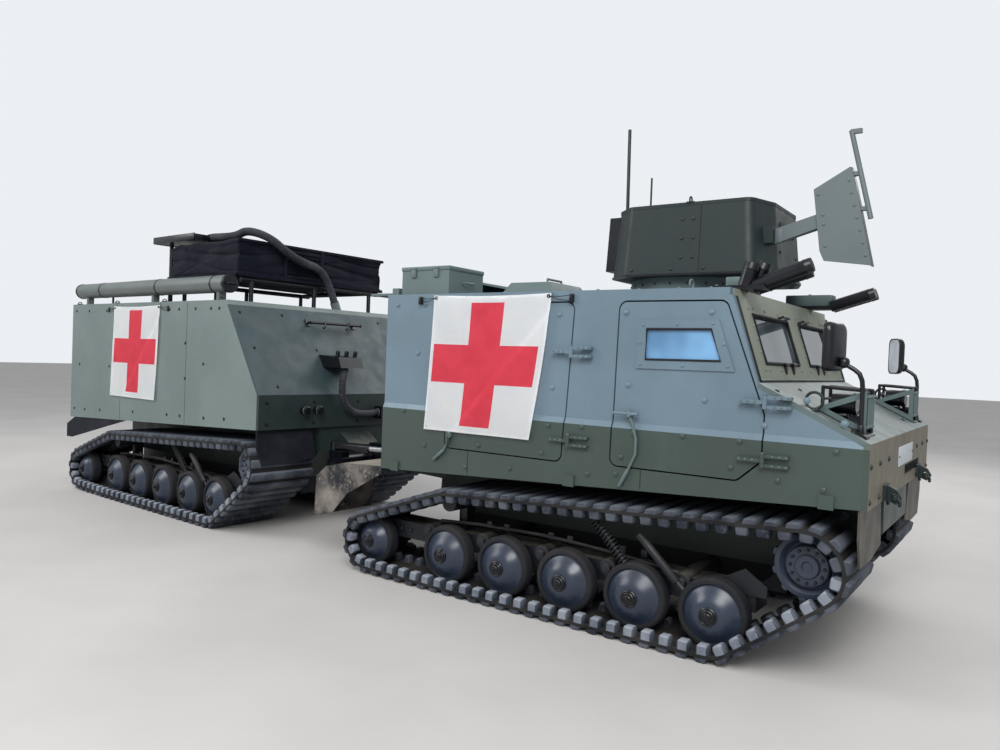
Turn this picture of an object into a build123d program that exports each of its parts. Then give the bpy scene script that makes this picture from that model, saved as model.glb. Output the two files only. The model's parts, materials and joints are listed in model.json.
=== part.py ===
# Two-car articulated tracked carrier in ambulance outfit, in millimetres.
# X points forward, Y to the vehicle's left, Z up from the ground.
import os
from math import cos, radians, sin, tan
from build123d import *

os.makedirs("parts", exist_ok=True)

# Front plane of each car's hull, and the turning axis between the cars
nose = 4035
car_spacing = 4509
rear_nose = nose - car_spacing
pivot = nose - 3840
parked_bend = -3.4
middle_y = 105

# Hull section, the same on both cars
half_width = 1060
wall_inner = 1005
upper_half = 1045
ridge_z = 1214
bevel_z = 1247
roof_z = 2002
roof_plate = 40
edge_z_front = 925
edge_z_rear = 782
tub_half = 400
tub_z = 430
floor_plate = 30
end_wall = 40
front_length = 3148
rear_length = 3492
slope_back = 502

# Clearances
door_gap = 9
seat_gap = 0.3
swing_gap = 6

# Bonnet and windscreen, measured back from the nose
nose_plate = 30
bonnet_plate = 30
bonnet_top_z = 1240
screen_back = 545
screen_z = 1511
roof_front_back = 705
screen_plate = 45
pane = 24
pane_low = 1610
pane_high = 1872
pane_inner_y = 130
pane_outer_y = 805

# Running gear, measured back from a car's front plane
sprocket_back = 284
sprocket_z = 588
sprocket_radius = 186
idler_back = 3293
idler_z = 237
idler_radius = 178
foremost_wheel_back = 765
wheel_pitch = 464
wheels_per_side = 5
wheel_radius = 197
wheel_z = 242
return_back = 2600
return_z = 598
return_radius = 60
band = 18
lug_height = 27
lug_pitch = 111
lug_foot = 72
track_inner_y = 438
track_outer_y = 1056
wheel_in_y = 872
wheel_rim_y = 962
hub_y = 1036
axle_radius = 42
beam_in_y = 650
beam_out_y = 860
beam_z = 330
beam_half_height = 60
beam_front_back = 560
spine_half = 290

# Doors in side view: corners as (back from the nose, height)
front_door = [(1358, 1000), (630, 1000), (508, 1110), (508, 1345), (725, 1928), (1338, 1930)]
side_door_rear = front_length - 570
side_door = [(side_door_rear, 985), (1690, 985), (1640, 1930), (side_door_rear, 1930)]
door_corner = 45
front_door_hinge = 494
side_door_hinge = 1630
hinge_offset = 22
hinge_radius = 13
hinge_pin_radius = 6
hinge_strap = 130
window = [(1167, 1778), (797, 1779), (740, 1612), (1169, 1609)]
window_plate = [(1220, 1830), (758, 1832), (665, 1558), (1227, 1557)]
window_plate_depth = 8
rear_door_half = 450
rear_door_low = 900
rear_door_high = 1880

# Roof hatch, cupola and its shields
hatch_back = 2165
hatch_half = 190
hatch_y = -530
hatch_half_y = 230
hatch_lid = 18
hatch_axis_z = 16
cupola_back = 1310
ring_radius = 425
ring_bore = 330
ring_seat = 50
ring_top = 2140
shield_top = 2590
shield_plate = 14

# Coupling, measured from the turning axis
hitch_plates = [(600, 640), (800, 840)]
king_pin = 35
hub_radius = 78
pitch_back = 440
coupling_z = 660
pitch_radius = 45
pitch_half = 410
ear_radius = 70
shank_radius = 55
ram_base = (-540, 370)
ram_eye = (20, 215)
ram_z = 773
ram_radius = 38
ram_rod_radius = 22
ram_pin = 14
ram_drift = 36

# Banners: back of the front and rear edge, bottom and top
front_banner = (side_door_rear - 793, side_door_rear + 122, 1092, 1988)
rear_banner = (rear_length - 1885, rear_length - 982, 1070, 1970)
banner_thickness = 4
banner_gap = 8

# Shelter bag on the rear car's roof, measured back from its front plane
bag_back = (660, 1880)
bag_z = (2240, 2590)
bag_half = 870

# Hoses on the rear car, as (forward from its front plane, left, up)
roof_hose_radius = 35
roof_hose_route = [(-1350, -700, 2640), (-1190, -712, 2630), (-980, -690, 2628), (-780, -705, 2670),
                   (-592, -590, 2604), (-582, -398, 2480), (-596, -220, 2420), (-602, -30, 2390),
                   (-608, 95, 2268), (-612, 180, 2080)]
gap_hose_radius = 29
gap_hose_route = [(45, -215, 1430), (62, -252, 1310), (66, -246, 1172), (60, -150, 1062), (52, 20, 1030),
                  (45, 180, 1042)]

bonnet_rise = (screen_z - bonnet_top_z) / screen_back
lean = (slope_back - nose_plate) / (roof_z - roof_plate - ridge_z)
screen_lean = (roof_front_back - screen_back) / (roof_z - screen_z)
under_roof = roof_z - roof_plate


def bonnet_z(back):
    """Height of the bonnet's upper face at a distance behind the nose."""
    return bonnet_top_z + bonnet_rise * back


def screen_x(z):
    """The windscreen's outer plane."""
    return nose - screen_back - screen_lean * (z - screen_z)


def edge_height(back, length):
    """Height of the hull's lower edge, which rises towards the front."""
    return edge_z_front - (edge_z_front - edge_z_rear) * back / length


def from_front(points, front_plane):
    return [(front_plane - back, z) for back, z in points]


def side_plate(points, y_from, y_to, mode=Mode.ADD):
    """A plate drawn in side view, from one side plane to the other."""
    low, high = min(y_from, y_to), max(y_from, y_to)
    with BuildSketch(Plane.XZ.offset(-high)) as face:
        with BuildLine():
            Polyline(points, close=True)
        make_face()
    extrude(face.sketch, amount=high - low, mode=mode)


def cross_plate(points, x_from, x_to, mode=Mode.ADD):
    """A plate drawn in front view as (y, z), from one cross plane to the other."""
    low, high = min(x_from, x_to), max(x_from, x_to)
    with BuildSketch(Plane.YZ.offset(low)) as face:
        with BuildLine():
            Polyline(points, close=True)
        make_face()
    extrude(face.sketch, amount=high - low, mode=mode)


def level_plate(points, z_from, z_to, rounds=(), mode=Mode.ADD):
    """A plate drawn in plan, with round ends as (x, y, radius)."""
    with BuildSketch(Plane.XY.offset(z_from)) as face:
        with BuildLine():
            Polyline(points, close=True)
        make_face()
        for x, y, radius in rounds:
            with Locations((x, y)):
                Circle(radius)
    extrude(face.sketch, amount=z_to - z_from, mode=mode)


def block(x_from, x_to, y_from, y_to, z_from, z_to, mode=Mode.ADD):
    """A block between three pairs of planes."""
    size = (abs(x_to - x_from), abs(y_to - y_from), abs(z_to - z_from))
    centre = ((x_from + x_to) / 2, (y_from + y_to) / 2, (z_from + z_to) / 2)
    with Locations(centre):
        Box(*size, mode=mode)


def rod(start, end, radius, mode=Mode.ADD):
    """A round bar from one point to another."""
    line = Vector(*end) - Vector(*start)
    with BuildSketch(Plane(origin=start, z_dir=line)) as face:
        Circle(radius)
    extrude(face.sketch, amount=line.length, mode=mode)


def bent_rod(points, radius):
    """A round bar along straight runs."""
    with BuildLine() as path:
        Polyline(points)
    with BuildSketch(Plane(origin=points[0], z_dir=Vector(*points[1]) - Vector(*points[0]))) as face:
        Circle(radius)
    sweep(face.sketch, path=path.line, transition=Transition.ROUND)


def on_rear(route):
    """A route's points in the rear car, from its own to the common frame."""
    return [Vector(rear_nose + x, y, z) for x, y, z in route]


def hose(points, radius):
    """A hose along straight runs that are joined by arcs as large as the runs allow."""
    radii = []
    for before, here, after in zip(points, points[1:], points[2:]):
        first, second = here - before, after - here
        half_turn = radians(first.get_angle(second)) / 2
        radii.append(0.45 * min(first.length, second.length) / tan(half_turn))
    with BuildLine() as path:
        FilletPolyline(*points, radius=radii)
    with BuildSketch(Plane(origin=points[0], z_dir=points[1] - points[0])) as face:
        Circle(radius)
    sweep(face.sketch, path=path.wire())
    print("hose radii", [round(value) for value in radii], "length", round(path.wire().length, 1))


def door_cut(points, front_plane, side, grow=0.0, mode=Mode.SUBTRACT):
    """The prism of a door's outline, grown by a gap, through one side wall."""
    with BuildSketch(Plane.XZ.offset(-(side * 1030) - 90)) as face:
        with BuildLine():
            Polyline(from_front(points, front_plane), close=True)
        make_face()
        fillet(face.vertices(), door_corner)
        if grow:
            offset(amount=grow, kind=Kind.INTERSECTION)
    extrude(face.sketch, amount=180, mode=mode)


def wall_section(side, low):
    """The side wall's section as (y, z): a thicker band below, a bevel, the upper wall."""
    band_foot = [(side * half_width, low)] if low < ridge_z else []
    return [(side * wall_inner, low), *band_foot, (side * half_width, ridge_z),
            (side * upper_half, bevel_z), (side * upper_half, roof_z), (side * wall_inner, roof_z)]


def track_path(front_plane, plane_y, extra):
    """The track's closed path round its wheels in side view, grown by an amount."""
    rounds = [(sprocket_back, sprocket_z, sprocket_radius), (return_back, return_z, return_radius),
              (idler_back, idler_z, idler_radius), (foremost_wheel_back, wheel_z, wheel_radius),
              (foremost_wheel_back + wheel_pitch * (wheels_per_side - 1), wheel_z, wheel_radius)]
    with BuildSketch(Plane.XZ.offset(-plane_y)) as face:
        for back, z, radius in rounds:
            with Locations((front_plane - back, z)):
                Circle(radius + extra)
        make_hull()
    return face.sketch


def track(front_plane, side):
    """One track: a band with a lug across it at every pitch."""
    low = min(side * track_inner_y, side * track_outer_y)
    high = max(side * track_inner_y, side * track_outer_y)
    outer = track_path(front_plane, high, band)
    extrude(outer, amount=high - low)
    edge = track_path(front_plane, 0, band).faces()[0].outer_wire()
    count = round(edge.length / lug_pitch)
    with BuildSketch(Plane.XZ.offset(-high)) as lugs:
        for step in range(count):
            here, along = edge.position_at(step / count), edge.tangent_at(step / count)
            turn = Vector(1, 0).get_signed_angle(Vector(along.X, along.Z))
            with Locations(Location((here.X, here.Z), turn)):
                Trapezoid(lug_foot - 14, lug_height * 2, 84)
    extrude(lugs.sketch, amount=high - low)
    extrude(track_path(front_plane, high + 1, 0), amount=high - low + 2, mode=Mode.SUBTRACT)


def dished_wheel(x, z, radius, side):
    """One dished wheel: flat back, rubber rim, cone to the hub."""
    with BuildSketch(Plane(origin=(x, 0, z), x_dir=(1, 0, 0), z_dir=(0, 0, 1))) as face:
        with BuildLine():
            Polyline((0, side * wheel_in_y), (radius, side * wheel_in_y), (radius, side * wheel_rim_y),
                     (48, side * (hub_y - 16)), (44, side * hub_y), (0, side * hub_y), close=True)
        make_face()
    revolve(face.sketch, axis=Axis((x, 0, z), (0, 1, 0)))


def running_wheels(front_plane):
    """Road wheels, idlers and sprockets of one car, both sides."""
    for side in (1, -1):
        for n in range(wheels_per_side):
            dished_wheel(front_plane - foremost_wheel_back - wheel_pitch * n, wheel_z,
                         wheel_radius - seat_gap, side)
        dished_wheel(front_plane - idler_back, idler_z, idler_radius - seat_gap, side)
        x = front_plane - sprocket_back
        rod((x, side * 700, sprocket_z), (x, side * 930, sprocket_z), sprocket_radius - seat_gap)
        rod((x, side * 930, sprocket_z), (x, side * 960, sprocket_z), 105)
        rod((x, side * 960, sprocket_z), (x, side * 990, sprocket_z), axle_radius)


def running_frame(front_plane, length):
    """Spine under the hull, cross tubes, and the beams that carry the wheels."""
    low, high = beam_z - beam_half_height, beam_z + beam_half_height
    block(front_plane - 420, front_plane - length + 120, -spine_half, spine_half, low, tub_z)
    for side in (1, -1):
        inner, outer = side * beam_in_y, side * beam_out_y
        block(front_plane - beam_front_back, front_plane - idler_back + 60, inner, outer, low, high)
        for n in range(wheels_per_side):
            x = front_plane - foremost_wheel_back - wheel_pitch * n
            rod((x, inner + side * 40, wheel_z), (x, side * wheel_in_y, wheel_z), axle_radius)
        x = front_plane - idler_back
        rod((x, inner + side * 40, idler_z), (x, side * wheel_in_y, idler_z), axle_radius)
        block(x - 45, x + 90, inner, outer, idler_z - 45, high)
        x = front_plane - return_back
        rod((x, inner - side * 50, return_z), (x, side * wheel_rim_y, return_z), return_radius - seat_gap)
        block(x - 25, x + 25, inner + side * 50, inner + side * 140, beam_z, return_z)
        x = front_plane - sprocket_back
        rod((x, side * 470, sprocket_z), (x, side * 700, sprocket_z), 130)
        side_plate([(x - 100, sprocket_z), (x + 60, sprocket_z - 60),
                    (x - 200, beam_z + 30), (x - 330, beam_z + 30)], inner, inner + side * 40)
        for back in (1000, 2350):
            x = front_plane - back
            rod((x, side * (spine_half - 10), beam_z + 20), (x, inner + side * 20, beam_z + 20), 52)


def side_flap(front_plane, side):
    """A rubber flap that hangs from the hull's front edge before one track."""
    top = edge_z_front - 2
    cross_plate([(side * 1050, top), (side * 500, top), (side * 440, 660), (side * 700, 625),
                 (side * 990, 630), (side * 1050, 780)], front_plane - 42, front_plane - 32)


def hinge(x, side, z, reach_y, on_hull):
    """Half of a strap hinge: the hull's half has the pin, the door's half the sleeve."""
    axis_y = side * (half_width + hinge_offset)
    if on_hull:
        rod((x, axis_y, z - 34), (x, axis_y, z + 34), hinge_pin_radius)
        for low in (z - 34, z + 14):
            rod((x, axis_y, low), (x, axis_y, low + 20), hinge_radius)
            block(x, x + hinge_strap, axis_y - 4, axis_y + 4, low + 2, low + 18)
            block(x + 60, x + hinge_strap, side * reach_y, axis_y, low + 2, low + 18)
    else:
        rod((x, axis_y, z - 13), (x, axis_y, z + 13), hinge_radius)
        block(x, x - hinge_strap, axis_y - 4, axis_y + 4, z - 10, z + 10)
        block(x - 60, x - hinge_strap, side * reach_y, axis_y, z - 10, z + 10)
        rod((x, axis_y, z - 14), (x, axis_y, z + 14), hinge_pin_radius + seat_gap, Mode.SUBTRACT)


def banner_brackets(front_plane, banner, side, wall):
    """Two brackets on the roof's edge that a banner's upper corners hang on."""
    near, far = banner[0], banner[1]
    for back in (near + 22, far - 22):
        x = front_plane - back
        block(x - 12, x + 12, side * (wall - 1), side * (half_width + banner_gap - seat_gap),
              under_roof + 2, roof_z - 10)


# Hinge heights of each side door, with the wall's face that the strap lies on
hinges = {"front_door": [(front_door_hinge, 1411, upper_half), (front_door_hinge, 1115, half_width)],
          "side_door": [(side_door_hinge, 1638, upper_half), (side_door_hinge, 1113, half_width)]}
outlines = {"front_door": front_door, "side_door": side_door}


def hull_floor(front_plane, length):
    """The lower hull's floor: sponsons at the sides and a deep tub in the middle."""
    front, rear = front_plane - nose_plate, front_plane - length
    low_front, low_rear = edge_height(nose_plate, length), edge_height(length - end_wall, length)
    side_plate([(rear + end_wall, low_rear), (front, low_front), (front, low_front + floor_plate),
                (rear + end_wall, low_rear + floor_plate)], -wall_inner, wall_inner)
    side_plate([(rear + 60, tub_z), (front - 330, tub_z), (front, tub_z + 280),
                (front, low_front + floor_plate), (rear + 60, edge_z_rear + floor_plate)],
               -tub_half, tub_half)
    side_plate([(rear + 60 + floor_plate, tub_z + floor_plate), (front - 340, tub_z + floor_plate),
                (front - floor_plate, tub_z + 320), (front - floor_plate, low_front + floor_plate + 1),
                (rear + 60 + floor_plate, edge_z_rear + floor_plate + 10)],
               -tub_half + floor_plate, tub_half - floor_plate, Mode.SUBTRACT)


# Front car, lower hull with its side bands
with BuildPart() as front_lower_hull:
    hull_floor(nose, front_length)
    front, rear = nose - nose_plate, nose - front_length
    low_front = edge_height(nose_plate, front_length)
    for side in (1, -1):
        side_plate([(rear, edge_z_rear), (front, low_front), (front, ridge_z), (rear, ridge_z)],
                   side * wall_inner, side * half_width)
    block(rear, rear + end_wall, -wall_inner, wall_inner, edge_z_rear, ridge_z)
    for side in (1, -1):
        for name in outlines:
            door_cut(outlines[name], nose, side, door_gap)
            back, z, reach = hinges[name][1]
            hinge(nose - back, side, z, reach, True)
        for back in (185, 1622, front_length - 134):
            z = edge_height(back, front_length)
            block(nose - back - 36, nose - back + 36, side * half_width, side * (half_width + 14),
                  z - 8, z + 60)

# Front car, upper walls, rear wall, bulkhead and dashboard
with BuildPart() as front_upper_hull:
    rear = nose - front_length
    for side in (1, -1):
        cross_plate(wall_section(side, ridge_z), rear, nose - nose_plate)
    side_plate([(rear, ridge_z), (nose - nose_plate, ridge_z),
                (nose - nose_plate, bonnet_z(nose_plate) - bonnet_plate),
                (nose - screen_back, screen_z - bonnet_plate), (nose - screen_back, screen_z),
                (screen_x(under_roof), under_roof), (rear, under_roof)],
               -half_width, half_width, Mode.INTERSECT)
    block(rear, rear + end_wall, -wall_inner, wall_inner, ridge_z, under_roof)
    block(nose - screen_back - screen_plate, nose - screen_back, -wall_inner, wall_inner,
          ridge_z, screen_z)
    block(nose - screen_back - 190, nose - screen_back - screen_plate, -wall_inner + 40,
          wall_inner - 40, 1330, 1480)
    for side in (1, -1):
        for name in outlines:
            door_cut(outlines[name], nose, side, door_gap)
            back, z, reach = hinges[name][0]
            hinge(nose - back, side, z, reach, True)

# Front car, roof with the cupola's seat and the hatch opening
hatch_axis_x = nose - hatch_back - hatch_half - 26
with BuildPart() as front_roof:
    block(nose - front_length, nose - roof_front_back - 3, -upper_half, upper_half, under_roof, roof_z)
    x = nose - cupola_back
    rod((x, 0, roof_z - 1), (x, 0, roof_z + ring_seat), ring_radius + 15)
    rod((x, 0, under_roof - 1), (x, 0, roof_z + ring_seat + 1), ring_bore, Mode.SUBTRACT)
    block(nose - hatch_back - hatch_half, nose - hatch_back + hatch_half, hatch_y - hatch_half_y,
          hatch_y + hatch_half_y, under_roof - 1, roof_z + 1, Mode.SUBTRACT)
    for y in (hatch_y - 150, hatch_y + 150):
        rod((hatch_axis_x, y - 40, roof_z + hatch_axis_z), (hatch_axis_x, y + 40, roof_z + hatch_axis_z),
            hinge_pin_radius)
        for lug in (y - 40, y + 26):
            block(hatch_axis_x - 12, hatch_axis_x + 8, lug, lug + 14, roof_z, roof_z + 22)
    for side in (1, -1):
        banner_brackets(nose, front_banner, side, upper_half)

# Front car, roof hatch lid with a raised, bevelled top
with BuildPart() as roof_hatch:
    rear, front = nose - hatch_back - hatch_half, nose - hatch_back + hatch_half
    inner = hatch_half_y - door_gap
    block(rear + door_gap, front - door_gap, hatch_y - inner, hatch_y + inner, roof_z - 30, roof_z + 8)
    with BuildSketch(Plane(origin=((rear + front) / 2, hatch_y, roof_z + 6), z_dir=(0, 0, 1))) as foot:
        Rectangle(front - rear + 2 * hatch_lid, 2 * hatch_half_y + 2 * hatch_lid)
    extrude(foot.sketch, amount=90, taper=30)
    for y in (hatch_y - 150, hatch_y + 150):
        rod((hatch_axis_x, y - 25, roof_z + hatch_axis_z), (hatch_axis_x, y + 25, roof_z + hatch_axis_z), 12)
        block(hatch_axis_x, rear + 10, y - 25, y + 25, roof_z + 8, roof_z + 22)
        rod((hatch_axis_x, y - 26, roof_z + hatch_axis_z), (hatch_axis_x, y + 26, roof_z + hatch_axis_z),
            hinge_pin_radius + seat_gap, Mode.SUBTRACT)

# Front car, nose plate with an air slot
with BuildPart() as nose_panel:
    z_low = edge_height(nose_plate, front_length)
    cross_plate([(-half_width, z_low), (half_width, z_low), (half_width, ridge_z),
                 (upper_half, bonnet_top_z), (-upper_half, bonnet_top_z), (-half_width, ridge_z)],
                nose - nose_plate, nose)
    block(nose - nose_plate - 1, nose + 1, 60, 640, 985, 1045, Mode.SUBTRACT)

# Front car, bonnet plate
with BuildPart() as bonnet:
    side_plate([(nose, bonnet_top_z), (nose - screen_back, screen_z),
                (nose - screen_back, screen_z - bonnet_plate),
                (nose - nose_plate, bonnet_z(nose_plate) - bonnet_plate),
                (nose - nose_plate, bonnet_top_z)], -upper_half, upper_half)

# Front car, windscreen frame and its two panes
with BuildPart() as windscreen_frame:
    reach = wall_inner - swing_gap
    top_x = screen_x(roof_z) - 3
    side_plate([(screen_x(screen_z), screen_z), (screen_x(roof_z), roof_z), (top_x, roof_z),
                (top_x, under_roof), (screen_x(under_roof) - screen_plate, under_roof),
                (screen_x(screen_z) - screen_plate, screen_z)], -reach, reach)
    for side in (1, -1):
        block(nose - roof_front_back - 100, nose - screen_back + 60, side * pane_inner_y,
              side * pane_outer_y, pane_low, pane_high, Mode.SUBTRACT)

with BuildPart() as windscreen_glass:
    for side in (1, -1):
        side_plate([(screen_x(pane_low) - 12, pane_low), (screen_x(pane_high) - 12, pane_high),
                    (screen_x(pane_high) - 12 - pane, pane_high),
                    (screen_x(pane_low) - 12 - pane, pane_low)],
                   side * pane_inner_y, side * pane_outer_y)

# Side doors and their windows
doors = {}
windows = {}
for hand, side in (("left", 1), ("right", -1)):
    for name, points in outlines.items():
        with BuildPart() as leaf:
            backs = [back for back, z in points]
            cross_plate(wall_section(side, min(z for back, z in points) - 5),
                        nose - max(backs) - 50, nose - min(backs) + 50)
            door_cut(points, nose, side, mode=Mode.INTERSECT)
            if name == "front_door":
                side_plate(from_front(window_plate, nose), side * upper_half,
                           side * (upper_half + window_plate_depth))
                side_plate(from_front(window, nose), side * 990, side * 1100, Mode.SUBTRACT)
            for back, z, reach in hinges[name]:
                hinge(nose - back, side, z, reach, False)
            if name == "front_door":
                rod((nose - 1184, side * 1085, 1300), (nose - 1340, side * 1085, 1300), 9)
                rod((nose - 1240, side * upper_half, 1300), (nose - 1240, side * 1092, 1300), 16)
            else:
                x = nose - side_door_rear + 38
                rod((x, side * 1085, 1085), (x, side * 1085, 1010), 9)
                rod((x, side * (half_width - 5), 1068), (x, side * 1092, 1068), 14)
        doors[name + "_" + hand] = leaf
    with BuildPart() as glass:
        side_plate(from_front(window, nose), side * 1012, side * 1042)
    windows["door_window_" + hand] = glass

# Cab seats on the sponson floor
with BuildPart() as cab_seats:
    for side in (1, -1):
        floor_at = {back: edge_height(back, front_length) + floor_plate for back in (1000, 1300)}
        side_plate([(nose - 1000, floor_at[1000]), (nose - 1000, 1120), (nose - 1300, 1120),
                    (nose - 1300, floor_at[1300])], side * 480, side * 800)
        side_plate([(nose - 900, 1120), (nose - 900, 1210), (nose - 1280, 1190), (nose - 1350, 1760),
                    (nose - 1430, 1750), (nose - 1360, 1120)], side * 420, side * 860)

with BuildPart() as engine:
    block(nose - 960, nose - 420, -270, 270, tub_z + floor_plate, 1180)

# Running gear of both cars
gear = {}
for car, plane, length in (("front", nose, front_length), ("rear", rear_nose, rear_length)):
    with BuildPart() as tracks:
        for side in (1, -1):
            track(plane, side)
    with BuildPart() as wheels:
        running_wheels(plane)
    with BuildPart() as frame:
        running_frame(plane, length)
    gear[car] = {"tracks": tracks, "wheels": wheels, "running_frame": frame}

# Front car, headlamps and their guards on the bonnet
with BuildPart() as headlamps:
    for side in (1, -1):
        y = side * 800
        side_plate([(nose - 40, bonnet_z(40)), (nose - 280, bonnet_z(280)), (nose - 280, bonnet_z(280) + 6),
                    (nose - 40, bonnet_z(40) + 6)], y - 100, y + 100)
        rod((nose - 230, y, 1418), (nose - 115, y, 1418), 54)
        block(nose - 190, nose - 150, y - 20, y + 20, bonnet_z(190) + 1, 1400)
        for guard_y in (y - 84, y + 84):
            bent_rod([(nose - 60, guard_y, bonnet_z(60) + 5), (nose - 60, guard_y, 1490),
                      (nose - 262, guard_y, 1500), (nose - 262, guard_y, bonnet_z(262) + 5)], 9)
        rod((nose - 60, y - 84, 1440), (nose - 60, y + 84, 1440), 8)

# Front car, mirrors on bent arms
with BuildPart() as mirrors:
    for side in (1, -1):
        y = side * 950
        side_plate([(nose - 30, bonnet_z(30)), (nose - 100, bonnet_z(100)),
                    (nose - 100, bonnet_z(100) + 14), (nose - 30, bonnet_z(30) + 14)], y - 40, y + 40)
        bent_rod([(nose - 65, y, bonnet_z(65) + 8), (nose - 65, y, 1560), (nose - 170, y, 1640)], 11)
        with BuildSketch(Plane.YZ.offset(nose - 220)) as head:
            with Locations((y, 1703)):
                RectangleRounded(180, 245, 45)
        extrude(head.sketch, amount=50)

# Front car, smoke dischargers at the roof's front corners
with BuildPart() as smoke_dischargers:
    block(nose - 860, nose - 575, -900, -760, roof_z, roof_z + 24)
    for x, y, tip_x, tip_y, rise in ((-690, -870, -650, -872, 148), (-660, -790, -610, -785, 153),
                                     (-650, -850, -350, -845, 128), (-640, -780, -370, -770, 108)):
        rod((nose + x, y, roof_z + 20), (nose + tip_x, tip_y, roof_z + rise), 38)
    block(nose - 860, nose - 500, 540, 660, roof_z, roof_z + 24)
    for y in (560, 640):
        rod((nose - 560, y, roof_z + 20), (nose - 290, y, roof_z + 108), 38)

# Front car, boxes and hood on the roof
with BuildPart() as roof_boxes:
    rear = nose - front_length
    block(rear + 88, rear + 508, -1000, -620, roof_z, roof_z + 188)
    side_plate([(rear + 58, roof_z), (rear + 108, roof_z + 183), (rear + 588, roof_z + 98),
                (rear + 588, roof_z)], -280, 300)
    side_plate([(rear + 83, roof_z - 1), (rear + 138, roof_z + 163), (rear + 589, roof_z + 83),
                (rear + 589, roof_z - 1)], -290, 280, Mode.SUBTRACT)
    block(rear - 212, rear + 58, -1000, -640, roof_z, roof_z + 16)
    block(rear - 2, rear + 58, -1000, -640, roof_z + 10, roof_z + 50)

# Front car, fittings for towing at the nose
tow_y = 600
tow_z = 930
tow_bore = 18
with BuildPart() as tow_fittings:
    for side in (1, -1):
        y = side * tow_y
        block(nose, nose + 16, y - 60, y + 60, tow_z - 5, tow_z + 75)
        side_plate([(nose + 10, tow_z - 5), (nose + 60, tow_z - 25), (nose + 84, tow_z + 10),
                    (nose + 60, tow_z + 50), (nose + 10, tow_z + 75)], y - 16, y + 16)
        rod((nose + 52, y - 20, tow_z + 12), (nose + 52, y + 20, tow_z + 12), tow_bore, Mode.SUBTRACT)

# Front car, rubber flaps before the tracks and curved mudguards behind them
with BuildPart() as front_flaps:
    for side in (1, -1):
        side_flap(nose, side)
with BuildPart() as front_mudguards:
    rear = nose - front_length
    for side in (1, -1):
        with BuildSketch(Plane.XZ.offset(-max(side * 450, side * 1056))) as sheet:
            with BuildLine() as run:
                Polyline((rear, 790), (rear - 360, 776), (rear - 560, 730), (rear - 660, 650),
                         (rear - 676, 350))
                offset(amount=4)
            make_face()
        extrude(sheet.sketch, amount=606)
        side_plate([(rear, 790), (rear - 360, 776), (rear - 560, 730), (rear - 660, 650),
                    (rear - 665, 350), (rear - 480, 400), (rear - 330, 560), (rear, 740)],
                   side * 1050, side * 1058)
        block(rear - seat_gap, rear + 10, side * 440, side * 1060, 700, 800, Mode.SUBTRACT)

# Banners, each hung on two brackets at the roof's edge
banners = {}
for hand, side in (("left", 1), ("right", -1)):
    face_y = side * (half_width + banner_gap)
    with BuildPart() as cloth:
        near, far, low, high = front_banner
        block(nose - near, nose - far, face_y, face_y + side * banner_thickness, low, high)
    banners["banner_front_" + hand] = cloth
with BuildPart() as rear_banners:
    near, far, low, high = rear_banner
    for side in (1, -1):
        face_y = side * (half_width + banner_gap)
        block(rear_nose - near, rear_nose - far, face_y, face_y + side * banner_thickness, low, high)

# Cupola: turning ring, armoured shield, side wing and posts
cupola_x = nose - cupola_back
cupola_rear = 440
cupola_corner = 60
cupola_plan = [(620, 250), (540, 500), (-290, 500), (-cupola_rear, 360), (-cupola_rear, -360),
               (-290, -500), (540, -500), (620, -250)]
with BuildPart() as cupola_ring:
    rod((cupola_x, 0, roof_z + ring_seat + seat_gap), (cupola_x, 0, ring_top), ring_radius)
    rod((cupola_x, 0, roof_z + ring_seat), (cupola_x, 0, ring_top + 1), ring_bore, Mode.SUBTRACT)

with BuildPart() as cupola_shield:
    # Each skin as (scale at foot, scale at rim, foot, rim, mode)
    for foot_scale, rim_scale, foot_z, rim_z, mode in (
            (1.0, 0.93, ring_top, shield_top, Mode.ADD),
            (0.965, 0.90, ring_top + shield_plate, shield_top + 1, Mode.SUBTRACT)):
        sections = []
        for scale, z in ((foot_scale, foot_z), (rim_scale, rim_z)):
            with BuildSketch(Plane((cupola_x, 0, z))) as level:
                with BuildLine():
                    Polyline([(px * scale, py * scale) for px, py in cupola_plan], close=True)
                make_face()
                fillet(level.vertices(), cupola_corner * scale)
            sections.append(level.sketch)
        loft(sections, mode=mode)
    rod((cupola_x, 0, ring_top - 1), (cupola_x, 0, ring_top + shield_plate + 1), ring_bore, Mode.SUBTRACT)
    block(cupola_x + 545, cupola_x + 612, -370, -290, 2330, 2430)

wing_y = -330
with BuildPart() as gun_shield:
    side_plate([(nose - 487, 2630), (nose - 296, 2740), (nose - 171, 2180), (nose - 415, 2215),
                (nose - 440, 2271)], wing_y - 6, wing_y + 6)
    side_plate([(nose - 296, 2740), (nose - 284, 2737), (nose - 159, 2177), (nose - 171, 2180)],
               wing_y - 6, wing_y + 60)
    side_plate([(cupola_x + 612, 2330), (nose - 420, 2420), (nose - 420, 2500), (cupola_x + 612, 2420)],
               wing_y + 6, wing_y + 30)
    rod((nose - 176, wing_y, 2440), (nose - 297, wing_y, 2945), 14)
    block(nose - 300, nose - 240, wing_y - 12, wing_y + 12, 2925, 2950)
    for clip_back, clip_z in ((190, 2490), (238, 2690)):
        block(nose - clip_back, nose - clip_back - 52, wing_y - 4, wing_y + 30, clip_z, clip_z + 22)

with BuildPart() as cupola_fittings:
    rear = cupola_x - cupola_rear
    shrink = 0.07 / (shield_top - ring_top)
    shield_lean = [(cupola_x - cupola_rear * (1 - shrink * (z - ring_top)) - seat_gap, z)
                   for z in (2200, 2560)]
    side_plate([(rear - 68, 2200), *shield_lean, (rear - 48, 2560)], -330, 330)
    for z in (2300, 2480):
        block(rear - 92, rear - 40, -18, 18, z, z + 30)
    rod((rear - 82, 0, 2280), (rear - 94, 0, 3250), 12)
    rod((rear - 20, 240, 2550), (rear - 20, 240, 2950), 7)

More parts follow.
